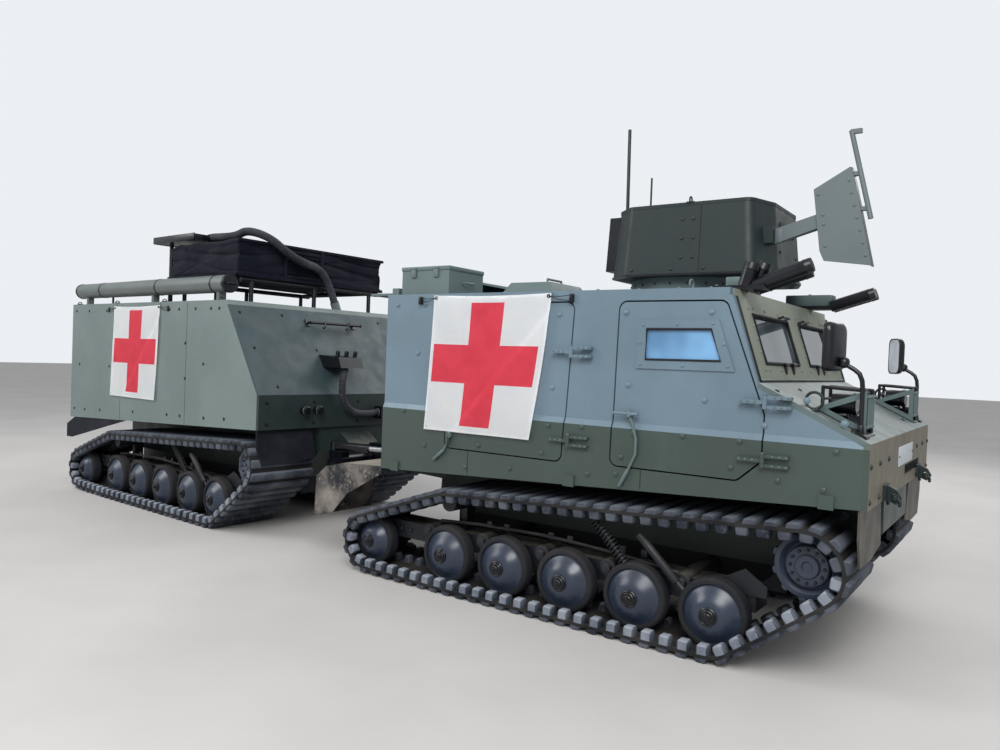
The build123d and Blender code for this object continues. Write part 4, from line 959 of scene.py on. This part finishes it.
# Fittings of the front car
def make_seams():
    """Dark joints between hull plates, as thin strips on the faces."""
    for body, marks in (("front_car", ((2.383, 0.81, 0.975), (1.167, 0.88, 0.99))),
                        ("rear_car", ((1.14, 0.88, 1.985), (2.37, 0.83, 1.985)))):
        form = Form()
        for (side, _), (back, low, high) in product(hands, marks):
            near, far = sorted((side * (half_width - 0.002), side * (half_width + 0.0007)))
            form.box((-back - 0.0022, near, low), (-back + 0.0022, far, high))
        form.made(body + "_seams", body, "seam")


def make_door_levers():
    """Bent opening levers on the cab doors and side doors, with their bosses."""
    lever_y, boss_y = 1.0735, 1.0875
    levers = (("front", [(1.25, 1.30), (1.222, 1.25), (1.196, 1.16), (1.196, 1.075), (1.24, 0.98),
                         (1.29, 0.885)], (1.25, 1.30)),
              ("side", [(2.536, 1.07), (2.545, 1.02), (2.575, 0.965), (2.66, 0.895)], (2.536, 1.068)))
    for (side, hand), (name, path, (boss_back, boss_z)) in product(hands, levers):
        form = Form()
        bent = [(-back, side * lever_y, z) for back, z in path]
        form.tube(bent, 0.0085, 12)
        form.rod(*bent[-2:], 0.0115, sides=14, edge=0.003)
        boss = (-boss_back, side * boss_y, boss_z)
        form.rod((-boss_back, side * 1.062, boss_z), boss, 0.022, edge=0.003)
        form.hexagon(boss, (0, side, 0), 0.010, 0.006)
        form.made("%s_door_lever_%s" % (name, hand), "%s_door_%s" % (name, hand), "hull")


def make_hinge_bolts():
    """Bolts through the hinges' straps, and the heads of their pins."""
    strap_y, pin_y = 1.086, 1.082
    hinges = (("front", 0.494, (1.411, 1.115)), ("side", 1.63, (1.638, 1.113)))
    for (side, hand), (door, back, heights) in product(hands, hinges):
        fixed, moving = Form(), Form()
        out = (0, side, 0)
        for z in heights:
            for dx in (0.05, 0.085, 0.118):
                for dz in (-0.024, 0.024):
                    fixed.bolt((-back + dx, side * strap_y, z + dz), out, 0.0045, 0.004, 10)
                moving.bolt((-back - dx, side * strap_y, z), out, 0.005, 0.004, 10)
            fixed.rod((-back, side * pin_y, z + 0.034), (-back, side * pin_y, z + 0.041), 0.0095,
                      sides=14, edge=0.002)
        fixed.made("%s_hinge_bolts_%s" % (door, hand), "front_car", "hull")
        moving.made("%s_strap_bolts_%s" % (door, hand), "%s_door_%s" % (door, hand), "hull")


def make_nose():
    """Blank plate, bolts, a louvre and shackles on the nose, and rings on the bonnet."""
    form = Form()
    form.box((0.0, -0.2, 1.058), (0.004, 0.32, 1.168), 0.0015)
    form.made("blank_plate", "front_car", "plate")
    form = Form()
    form.bolts(product((0,), (-1.02, -0.78, -0.52, 0.52, 0.78, 1.02), (0.96, 1.13)), AHEAD, 0.012, 0.009)
    form.bolts(product((0.004,), (-0.185, 0.305), (1.113,)), AHEAD, 0.006, 0.004)
    for z in (0.991 + 0.0115 * k for k in range(5)):
        form.plate([(-0.022, z), (-0.004, z + 0.006), (-0.004, z + 0.008), (-0.022, z + 0.002)],
                   0.062, 0.638)
    for back in (0.09, 0.28, 0.46):
        z = bonnet_top_z + (screen_z - bonnet_top_z) / screen_back * back
        form.bolts(product((-back,), (-0.99, -0.55, 0.55, 0.99), (z,)), bonnet_up, 0.011, 0.008)
    form.made("nose_bolts", "front_car", "dark", "hull_paint")
    rings = Form()
    for side, _ in hands:
        y = side * 0.955
        rings.ring((-0.285, y, 1.43), LEFT, 0.042, 0.0075, steps=32, sides=12)
        rings.box((-0.31, y - 0.014, 1.372), (-0.262, y + 0.014, 1.396), 0.003)
        y = side * 0.6
        rings.ring((0.045, y, 0.912), (0.35, 1, 0.1), 0.032, 0.0085, (-0.45, pi + 0.45), 26, 12)
        rings.rod((0.052, y - 0.04, 0.942), (0.052, y + 0.04, 0.942), 0.0125, sides=18, edge=0.002)
    rings.made("rings_and_shackles", "front_car", "dark")


def make_windscreen():
    """Seals and bolts round both panes, latches under them and the frame's black seams."""
    slope = (roof_front_back - screen_back) / (roof_z - screen_z)
    screen_half = 1.0

    def at(y, z, out=0.0):
        return Vector((-screen_back - slope * (z - screen_z) + out, y, z + out * slope))
    normal = Vector((1, 0, slope)).normalized()
    seals, bolts, arms = Form(), Form(), Form()
    for side, _ in hands:
        ends = [at(side * y, z) for y, z in ((0.13, 1.61), (0.805, 1.61), (0.805, 1.872), (0.13, 1.872))]
        seals.tube([*ends, *ends[:2]], 0.011, 10)
        bolts.bolts([at(side * y, z) for y, z in (
            *product((0.1, 0.3, 0.55, 0.76, 0.84), (1.575, 1.908)),
            *((y, z) for z, y in product((1.67, 1.74, 1.81), (0.1, 0.84))))], normal, 0.008, 0.006)
        for y in (side * 0.3, side * 0.46):
            arms.rod(at(y - 0.028, 1.605, 0.014), at(y + 0.028, 1.605, 0.014), 0.011, sides=14, edge=0.002)
            arms.box(at(y, 1.59, -0.01) - Vector((0.01, 0.016, 0.03)),
                     at(y, 1.59, 0.012) + Vector((0.004, 0.016, 0.018)), 0.003)
            arms.bolt(at(y, 1.565), normal, 0.012, 0.008)
        handle = ((0.16, 0.0), (0.16, 0.03), (0.3, 0.03), (0.3, 0.0))
        arms.tube([at(side * y, 1.884, out) for y, out in handle], 0.0075, 10)
        edge_y = side * screen_half
        arms.tube([at(edge_y, screen_z + 0.004, 0.002), at(edge_y, roof_z - 0.045, 0.002)], 0.008, 8)
    arms.tube([at(y, screen_z + 0.006, 0.003) for y in (-screen_half, screen_half)], 0.008, 8)
    seals.made("windscreen_seals", "front_car", "rim", "black_steel")
    bolts.made("windscreen_bolts", "front_car", "screen_frame")
    arms.made("screen_latches_and_seams", "front_car", "black")
    for side, hand in hands:
        corners = [(x, side * 1.053, z)
                   for x, z in ((-1.167, 1.778), (-0.797, 1.779), (-0.74, 1.612), (-1.169, 1.609))]
        seals = Form()
        seals.tube([*corners, *corners[:2]], 0.0065, 10)
        seals.made("door_window_seal_" + hand, "front_door_" + hand, "rim", "black_steel")


def make_lamps():
    """Headlamps with bezels and lenses, and small lamps beside them."""
    lamp_z, guard = 1.418, 0.084
    bezels, lenses, amber = Form(), Form(), Form()
    for side, _ in hands:
        y = side * 0.8
        bezels.turned((-0.135, y, lamp_z), AHEAD, [(0, 0.054), (0.004, 0.06), (0.018, 0.06), (0.024, 0.056),
                                                   (0.02, 0.046), (0.012, 0.045)], 40)
        lenses.turned((-0.12, y, lamp_z), AHEAD,
                      [(0, 0.046), (0.006, 0.044), (0.013, 0.032), (0.016, 0.014)], 36)
        for dy in (-0.055, 0.0, 0.055):
            bezels.rod((-0.22, y + dy, 1.36), (-0.15, y + dy, 1.36), 0.012, sides=14, edge=0.002)
        bezels.box((-0.135, y + side * 0.02, 1.325), (-0.085, y + side * 0.08, 1.362), 0.004)
        amber.box((-0.086, y + side * 0.025, 1.33), (-0.078, y + side * 0.075, 1.357), 0.003)
        for guard_y in (y - guard + 0.022, y + guard + 0.022):
            bezels.bolts([(-0.06, guard_y, 1.284), (-0.262, guard_y, 1.385)], bonnet_up, 0.008, 0.006)
        bezels.rod((-0.26, y - guard, 1.44), (-0.26, y + guard, 1.44), 0.007, sides=12)
    bezels.made("lamp_bezels", "front_car", "black")
    lenses.made("lamp_lenses", "front_car", "lens")
    amber.made("indicator_lenses", "front_car", "amber_lens")


def make_mirrors():
    """Mirrors on bent arms, their heads turned to the driver on ball joints."""
    slope = (screen_z - bonnet_top_z) / screen_back
    width, height, radius = 0.090, 0.1225, 0.045
    foot_back, front, rear = 0.065, 0.03, 0.1
    arms, glass = Form(), Form()

    def outline(turn, x, shrink):
        """The head's rounded outline at one depth."""
        reach_y, reach_z = width - shrink - radius, height - shrink - radius
        points = []
        for angle in (tau * (k + 0.5) / 40 for k in range(40)):
            dy = radius * cos(angle) + (reach_y if cos(angle) > 0 else -reach_y)
            dz = radius * sin(angle) + (reach_z if sin(angle) > 0 else -reach_z)
            points.append(turn @ Vector((x, dy, dz)))
        return points

    for side, _ in hands:
        y = side * 0.95
        front_z, rear_z, foot_z = (bonnet_top_z + slope * back for back in (front, rear, foot_back))
        arms.plate([(-front, front_z - 0.001), (-rear, rear_z - 0.001), (-rear, rear_z + 0.014),
                    (-front, front_z + 0.014)], y - 0.04, y + 0.04)
        arms.rod((-foot_back, y, foot_z), (-foot_back, y, foot_z + 0.05), 0.02, 0.014, 20, 0.003)
        arms.tube([(x, y, z) for x, z in ((-foot_back, foot_z + 0.008), (-foot_back, 1.50), (-0.069, 1.54),
                                          (-0.082, 1.572), (-0.105, 1.592), (-0.145, 1.615))], 0.0115, 14)
        arms.turned((-0.178, y, 1.63), (1, 0, -0.2), [(0, 0.012), (0.006, 0.022), (0.018, 0.028),
                                                      (0.03, 0.028), (0.042, 0.022), (0.048, 0.012)], 24)
        degrees = 30 if side > 0 else -14.5
        turn = Matrix.Translation((-0.197, y, 1.703)) @ Matrix.Rotation(radians(degrees), 4, "Z")
        arms.loops([outline(turn, x, shrink) for x, shrink in (
            (-0.0205, 0.008), (-0.0235, 0.004), (-0.0235, 0.0), (-0.012, -0.001), (0.006, 0.003),
            (0.017, 0.012), (0.023, 0.030))])
        glass.loops([outline(turn, -0.0206, 0.009), outline(turn, -0.0222, 0.009)])
    shells = arms.made("mirror_heads_and_arms", "front_car", "black")
    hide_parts("mirrors")
    glass.made("mirror_faces", "front_car", "mirror")


def make_lamp_cheeks():
    """Three-sided guard plates beside the headlamps, and upright bars in front of them."""
    cheeks = Form()
    outer = [(-0.30, 1.392), (-0.052, 1.27), (-0.052, 1.49)]
    inner = [(-0.235, 1.39), (-0.078, 1.314), (-0.078, 1.448)]
    bar_x = -0.05
    for side, _ in hands:
        middle = side * 0.8
        for y in (middle - 0.098, middle + 0.094):
            for k in range(3):
                n = (k + 1) % 3
                cheeks.plate([outer[k], outer[n], inner[n], inner[k]], y, y + 0.004)
            cheeks.bolt((-0.262, y + 0.02, 1.386), bonnet_up, 0.008, 0.006)
        for y in (middle - 0.07 + 0.035 * k for k in range(5)):
            cheeks.rod((bar_x, y, 1.30), (bar_x, y, 1.47), 0.0045, sides=10)
        for z in (1.31, 1.46):
            cheeks.rod((bar_x, middle - 0.096, z), (bar_x, middle + 0.096, z), 0.006, sides=12)
    cheeks.made("lamp_cheeks", "front_car", "hull")


def make_roof():
    """Caps and collars on the smoke tubes, latches on the boxes, hatch handle and rolled net."""
    # Each smoke tube as (foot x, foot y), (tip x, tip y, rise of the tip)
    tubes = [((-0.690, -0.870), (-0.650, -0.872, 0.148)), ((-0.660, -0.790), (-0.610, -0.785, 0.153)),
             ((-0.650, -0.850), (-0.350, -0.845, 0.128)), ((-0.640, -0.780), (-0.370, -0.770, 0.108)),
             ((-0.560, 0.56), (-0.290, 0.56, 0.108)), ((-0.560, 0.64), (-0.290, 0.64, 0.108))]
    cap = [(0, 0.038), (0.002, 0.0405), (0.012, 0.0405), (0.014, 0.0395), (0.036, 0.0395), (0.041, 0.037),
           (0.0425, 0.03)]
    collar = [(0, 0.0375), (0.001, 0.0395), (0.005, 0.0395), (0.006, 0.0375)]
    caps = Form()
    for (x, y), (tip_x, tip_y, rise) in tubes:
        end = Vector((tip_x, tip_y, roof_z + rise))
        along = (end - Vector((x, y, roof_z + 0.02))).normalized()
        for back, profile in ((0.042, cap), (0.06, collar), (0.072, collar)):
            caps.turned(end - along * back, along, profile, 32)
    caps.made("smoke_tube_caps", "front_car", "black")
    mounts = Form()
    mounts.bolts(product((-0.84, -0.78, -0.72), (-0.885, -0.775), (roof_z + 0.024,)), UP, 0.009, 0.007)
    mounts.box((-0.80, -0.86, roof_z + 0.02), (-0.72, -0.80, roof_z + 0.075), 0.006)
    mounts.box((-0.86, 0.545, roof_z + 0.02), (-0.55, 0.655, roof_z + 0.10), 0.008)
    mounts.bolts(product((-0.70,), (0.56, 0.60, 0.64), (roof_z + 0.10,)), UP, 0.008, 0.006)
    # Box by the right edge: lid, latches and a strap
    mounts.box((-3.066, -1.006, 2.168), (-2.634, -0.614, 2.196), 0.005)
    for x in (-2.95, -2.75):
        mounts.box((x - 0.02, -1.012, 2.12), (x + 0.02, -1.0, 2.185), 0.003)
        mounts.rod((x - 0.024, -1.01, 2.182), (x + 0.024, -1.01, 2.182), 0.006, sides=12)
    mounts.tube([(x, y, 2.09) for x, y in ((-2.634, -0.86), (-2.61, -0.86), (-2.61, -0.76), (-2.634, -0.76))],
                0.007, 10)
    # Bolts along the roof's edge and round the cupola's seat
    for side, _ in hands:
        mounts.bolts([(-back, side * 1.02, roof_z) for back in (0.82, 1.0, 1.24, 1.5, 1.7, 2.76, 2.92, 3.08)],
                     UP, 0.010, 0.008)
    seat_bolts, seat_circle = 20, 0.432
    for angle in (tau * (k + 0.5) / seat_bolts for k in range(seat_bolts)):
        mounts.hexagon((-cupola_back + seat_circle * cos(angle), seat_circle * sin(angle), roof_z + 0.05),
                       UP, 0.0065, 0.0015)
    for side, _ in hands:
        for place, axis in (((-0.95, side * 0.97, roof_z + 0.026), AHEAD),
                            ((-3.06, side * 0.5 + 0.45, roof_z + 0.026), LEFT)):
            mounts.ring(place, axis, 0.026, 0.006, steps=26, sides=10)
    mounts.made("roof_fittings", "front_car", "hull")
    hatch = Form()
    top = 2.098
    hatch.tube([(-2.1, y, top + rise) for y, rise in ((-0.62, -0.004), (-0.62, 0.03), (-0.44, 0.03),
                                                      (-0.44, -0.004))], 0.008, 12)
    hatch.bolts(product((-2.26, -2.07), (-0.68, -0.38), (top,)), UP, 0.008, 0.006)
    hatch.made("hatch_handle", "roof_hatch", "hull")
    net = Form()
    for k in range(420):
        spread = [noise.noise(Vector((k * 7.13 + n * 31.7, n * 3.1, k * 1.37))) for n in range(6)]
        here = Vector((-2.60 - 0.36 * ((k * 0.6180) % 1.0), -0.26 + 0.52 * ((k * 0.7549) % 1.0),
                       2.006 + 0.055 * ((k * 0.5698) % 1.0)))
        a = Vector((spread[0], spread[1], spread[2] * 0.5)) * 0.05 + Vector((0.018, 0, 0))
        b = Vector((spread[3], spread[4], spread[5] * 0.5)) * 0.05 + Vector((0, 0.016, 0))
        lift = Vector((0, 0, 0.001))
        net.loops([[here - a, here + b * 0.3, here + a],
                   [here - a + lift, here + b + lift * 4, here + a + lift]])
    net.made("rolled_net", "front_car", "net")


def make_cupola():
    """The cupola's rim, foot flange (painted black as the shadow line at its foot), bolts and viewing slot,
    and the bolts and bars of its wing.
    """
    plan = [(0.62, 0.25), (0.54, 0.5), (-0.29, 0.5), (-0.44, 0.36), (-0.44, -0.36), (-0.29, -0.5),
            (0.54, -0.5), (0.62, -0.25)]
    corner = 0.06
    # The walls lean in: each height with the plan's scale there
    leaning = ((2.49, 0.9465), (2.37, 0.965), (2.25, 0.983))
    foot_scale, head_scale = 0.9975, 0.934

    def at(x, y, z):
        return Vector((-cupola_back + x, y, z))

    def outline(scale, grow=0.0):
        """The plan with rounded corners, scaled and grown by a little."""
        points = []
        for k, here in enumerate(plan):
            here = Vector(here)
            back = (Vector(plan[k - 1]) - here).normalized()
            ahead = (Vector(plan[(k + 1) % len(plan)]) - here).normalized()
            half = back.angle(ahead) / 2
            reach = corner / max(0.3, sin(half) / cos(half))
            first, last = here + back * reach, here + ahead * reach
            for share in (n / 6 for n in range(7)):
                bend_in = here * 2 * share * (1 - share)
                points.append(first * (1 - share) ** 2 + bend_in + last * share ** 2)
        return [p * scale + p.normalized() * grow for p in points]

    def band(form, scale, low, high, inward, outward):
        """A closed band that follows the plan."""
        rows = [[at(a.x, a.y, low), at(a.x, a.y, high), at(b.x, b.y, high), at(b.x, b.y, low)]
                for a, b in zip(outline(scale, outward), outline(scale, -inward))]
        form.loops([*rows, rows[0]], caps=False)
    rim, flange = Form(), Form()
    bolt = (0.0095, 0.007)
    band(rim, 0.931, 2.572, 2.593, 0.02, 0.003)
    for side, _ in hands:
        out = (0, side, 0.078)
        rim.bolts([at(x * scale, side * 0.5 * scale, z) for (z, scale), x in product(leaning, (0.09, 0.165))],
                  out, *bolt)
        rim.bolts([at(x * 0.994, side * 0.497, 2.18) for x in (0.03, 0.24, -0.24)], out, *bolt)
    rim.bolts([at(-0.44 * scale, y, z) for (z, scale), y in product(leaning, (-0.28, 0.28))],
              (-1, 0, 0.07), *bolt)
    rim.bolts([at(0.62 * 0.975, y, 2.30) for y in (-0.18, 0.18)], (1, 0, 0.1), *bolt)
    rim.box(at(0.575, -0.14, 2.42), at(0.606, 0.14, 2.49), 0.004)
    for y in (-0.46, 0.46):
        rim.ring(at(0.13, y, 2.608), AHEAD, 0.018, 0.005, steps=24, sides=10)
        rim.box(at(0.105, y - 0.012, 2.585), at(0.155, y + 0.012, 2.598), 0.002)
    rim.made("cupola_rim_and_bolts", "cupola", "dark")
    # The black foot flange is a real flange whose black is a painted shadow line at the cupola's foot.
    band(flange, 1.0, 2.139, 2.152, 0.03, 0.007)
    for side, _ in hands:
        foot, head = side * 0.5 * foot_scale, side * 0.5 * head_scale
        strip = ((0, -0.001), (0.004, -0.001), (0.004, 0.0012), (0, 0.0012), (0, -0.001))
        flange.loops([[at(0.208 + dx, foot + dy, 2.155), at(0.2 + dx, head + dy, 2.572)] for dx, dy in strip],
                     closed=False, caps=False)
    flange.box(at(0.604, -0.12, 2.43), at(0.609, 0.12, 2.48), 0.001)
    bore_bolts, bore_circle = 24, 0.424
    for angle in (tau * k / bore_bolts for k in range(bore_bolts)):
        out = Vector((cos(angle), sin(angle), 0))
        flange.hexagon(at(bore_circle * cos(angle), bore_circle * sin(angle), 2.10), out, 0.008, 0.007)
    flange.plate([(-0.284, 2.737), (-0.2825, 2.7366), (-0.1575, 2.1766), (-0.159, 2.177)], -0.336, -0.27)
    flange.made("cupola_flange_painted_shadow_line", "cupola", "black")
    wing = Form()
    wing_y, out = -0.336, (0, -1, 0)
    wing.bolts([(-0.307 + 0.122 * share, wing_y, 2.70 - 0.50 * share)
                for share in ((k + 0.5) / 7 for k in range(7))], out, 0.007, 0.006)
    wing.bolts([(x, wing_y, z) for x, z in ((-0.46, 2.60), (-0.41, 2.30), (-0.43, 2.48), (-0.425, 2.425))],
               out, 0.008, 0.006)
    for z in (2.36, 2.44):
        wing.tube([(-0.68, -0.296, z - 0.02), (-0.62, -0.296, z), (-0.45, -0.296, z + 0.05)], 0.009, 10)
    wing.box((-0.70, -0.326, 2.335), (-0.66, -0.294, 2.415), 0.004)
    wing.made("wing_bolts", "cupola", "pale")
    posts = Form()
    back = -cupola_back - 0.44
    for z in (2.315, 2.495):
        posts.rod((back - 0.083, -0.02, z), (back - 0.083, 0.02, z), 0.02, edge=0.003)
    posts.rod((back - 0.0845, 0, 2.62), (back - 0.0845, 0, 2.66), 0.017, sides=18, edge=0.003)
    posts.rod((back - 0.02, 0.24, 2.56), (back - 0.02, 0.24, 2.60), 0.012, sides=16, edge=0.002)
    for z in (2.24 + 0.075 * k for k in range(5)):
        posts.tube([(back - 0.067 + 0.02 * (z - 2.2) / 0.36, y, z + 0.002 * sin(y * 30))
                    for y in (-0.325, -0.2, -0.05, 0.1, 0.22, 0.325)], 0.0028, 6)
    posts.made("flap_seams_and_clamps", "cupola", "black")


# Fittings of the rear car
def make_rear_roof():
    """Straps and end cap of the roof tube, board edges, rack hooks and lifting rings."""
    straps, dark = Form(), Form()
    y, z = -0.965, roof_z + 0.15
    band, lip = 0.0815, 0.0785
    for back in (2.94, 1.785, 0.819):
        straps.turned((-back - 0.012, y, z), AHEAD, [(0, 0.0782), (0.001, 0.0805), (0.023, 0.0805),
                                                     (0.024, 0.0782)], 48)
        straps.box((-back - 0.014, y + 0.07, z - 0.13), (-back + 0.014, y + 0.082, z + 0.01), 0.002)
    straps.turned((-0.64, y, z), AHEAD,
                  [(0, lip), (0.002, band), (0.026, band), (0.032, 0.076), (0.034, 0.03)], 48)
    straps.tube([(x, y + dy, z) for x, dy in ((-0.608, -0.045), (-0.58, -0.045), (-0.58, 0.045),
                                              (-0.608, 0.045))], 0.007, 12)
    straps.turned((-3.486, y, z), AHEAD, [(0, 0.076), (0.004, band), (0.028, band), (0.03, lip)], 48)
    straps.made("tube_straps", "rear_car", "black")
    for (side, _), back in product(hands, (0.66, 1.62, 2.56, 3.42)):
        y = side * 1.02
        dark.box((-back - 0.016, y - 0.02, roof_z), (-back + 0.016, y + 0.02, roof_z + 0.012), 0.002)
        dark.ring((-back, y, roof_z + 0.008), AHEAD, 0.02, 0.0045, (0, pi), 16, 8)
        dark.bolts([(-back - 0.05, y, roof_z), (-back + 0.05, y, roof_z)], UP, 0.009, 0.007)
    board_low, board_high = 2.597, 2.662
    for y in (-0.88, -0.165):
        dark.box((-2.125, y - 0.008, board_low), (-1.375, y + 0.008, board_high), 0.002)
    for x, y in ((-2.128, -0.88), (-1.384, -0.744)):
        dark.box((x, y, board_low), (x + 0.01, -0.16, board_high), 0.002)
    dark.bolts([(x, y, 2.657) for x, y in product((-2.0, -1.75, -1.5), (-0.80, -0.50, -0.24))
                if (x, y) != (-1.75, -0.50)], UP, 0.007, 0.0045)
    # Hooks and end caps of the tool rack
    for y in (-0.335, 0.258):
        dark.rod((-0.31, y, 1.85), (-0.31, y + 0.008, 1.85), 0.016, sides=18, edge=0.002)
    for y in (-0.18, 0.09):
        dark.tube([(x, y, z) for x, z in ((-0.31, 1.862), (-0.29, 1.85), (-0.285, 1.82), (-0.305, 1.80),
                                          (-0.325, 1.815))], 0.006, 10)
    dark.made("rear_roof_fittings", "rear_car", "black")


def make_rear_end():
    """Rear door's bolts, panel and handle boss, the lamps' lenses and the hull's rear bolts."""
    back = -rear_length
    door, wall, red, amber = Form(), Form(), Form(), Form()
    door_bolts = ((-0.42, 0.95), (-0.42, 1.4), (-0.42, 1.84), (0.0, 1.84), (0.0, 0.95), (0.3, 1.4),
                  (0.42, 1.2), (0.42, 1.84))
    door.bolts([(back, y, z) for y, z in door_bolts], BACK, 0.010, 0.008)
    door.rod((back - 0.034, -0.38, 1.33), (back - 0.02, -0.38, 1.33), 0.022, edge=0.003)
    door.box((back - 0.006, -0.2, 1.55), (back + 0.002, 0.2, 1.78), 0.003)
    door.bolts(product((back - 0.006,), (-0.17, 0.17), (1.58, 1.75)), BACK, 0.007, 0.005)
    door.made("rear_door_bolts", "rear_door", "rear_side")
    wall.bolts(product((back,), (-1.0, -0.72, 0.72, 1.0), (1.12, 1.4, 1.9)), BACK, 0.0115, 0.008)
    red_y, amber_y, lamp_z = 0.87, 0.948, 0.945
    for side, _ in hands:
        low, high = sorted((side * 0.838, side * 0.982))
        wall.box((back - 0.05, low, 0.90), (back - 0.0003, high, 0.906), 0.001)
        for y, radius in ((red_y, 0.03), (amber_y, 0.024)):
            wall.ring((back - 0.062, side * y, lamp_z), AHEAD, radius, 0.004, steps=28, sides=8)
        for lens, y, profile, sides in ((red, red_y, [(0, 0.028), (0.005, 0.025), (0.008, 0.012)], 32),
                                        (amber, amber_y, [(0, 0.022), (0.005, 0.019), (0.008, 0.01)], 28)):
            lens.turned((back - 0.06, side * y, lamp_z), BACK, profile, sides)
        for z in (0.86, 0.80):
            wall.hexagon((back - 0.016, side * 0.075, z), BACK, 0.008, 0.006)
    wall.made("rear_wall_bolts", "rear_car", "rear_side")
    red.made("rear_red_lenses", "rear_car", "red_lens")
    amber.made("rear_amber_lenses", "rear_car", "amber_lens")


def make_gap():
    """Clamps, plugs and bolts on the connector boxes between the cars, and on the coupling."""
    bright, dark, hitch = Form(), Form(), Form()
    for y, z in ((-0.62, 1.08), (-0.48, 1.08), (0.48, 1.06)):
        dark.turned((0.046, y, z), AHEAD, [(0, 0.034), (0.004, 0.037), (0.018, 0.037), (0.022, 0.03),
                                           (0.034, 0.028)], 28)
        bright.ring((0.052, y, z), AHEAD, 0.0365, 0.0025, steps=28, sides=6)
    # The clamps at both ends of the gap hose
    for place, axis in (((0.045, -0.215, 1.452), (-0.13, 0.29, 0.95)),
                        ((0.0445, 0.19, 1.0428), (0, 1, 0.07))):
        bright.ring(place, axis, 0.0355, 0.003, steps=28, sides=8)
    for y in (-0.27, -0.17, -0.07):
        dark.rod((0.0, y, 1.535), (0.02, y, 1.60), 0.022, 0.018, edge=0.003)
        bright.ring((0.004, y, 1.562), (0.3, 0, 0.95), 0.0205, 0.002, steps=24, sides=6)
    for y, z in product((0.225, 0.31), (1.005, 1.08)):
        bright.hexagon((0.09, y, z), AHEAD, 0.007, 0.006)
    dark.made("gap_plugs", "rear_car", "black")
    bright.made("gap_clamps", "rear_car", "bare")
    for (side, _), z in product(hands, (0.63, 0.72, 0.85)):
        hitch.hexagon((-front_length - 0.001, side * 0.235, z), BACK, 0.013, 0.011)
    hitch.turned((-front_length - 0.692, 0, 0.8402), UP, [(0, 0.055), (0.006, 0.055), (0.009, 0.05),
                                                          (0.012, 0.04)], 36)
    hitch.made("hitch_bolts", "front_car", "black")


for make in (make_seams, make_door_levers, make_hinge_bolts, make_nose, make_windscreen, make_lamps,
             make_mirrors, make_lamp_cheeks, make_roof, make_cupola, make_rear_roof, make_rear_end, make_gap):
    make()
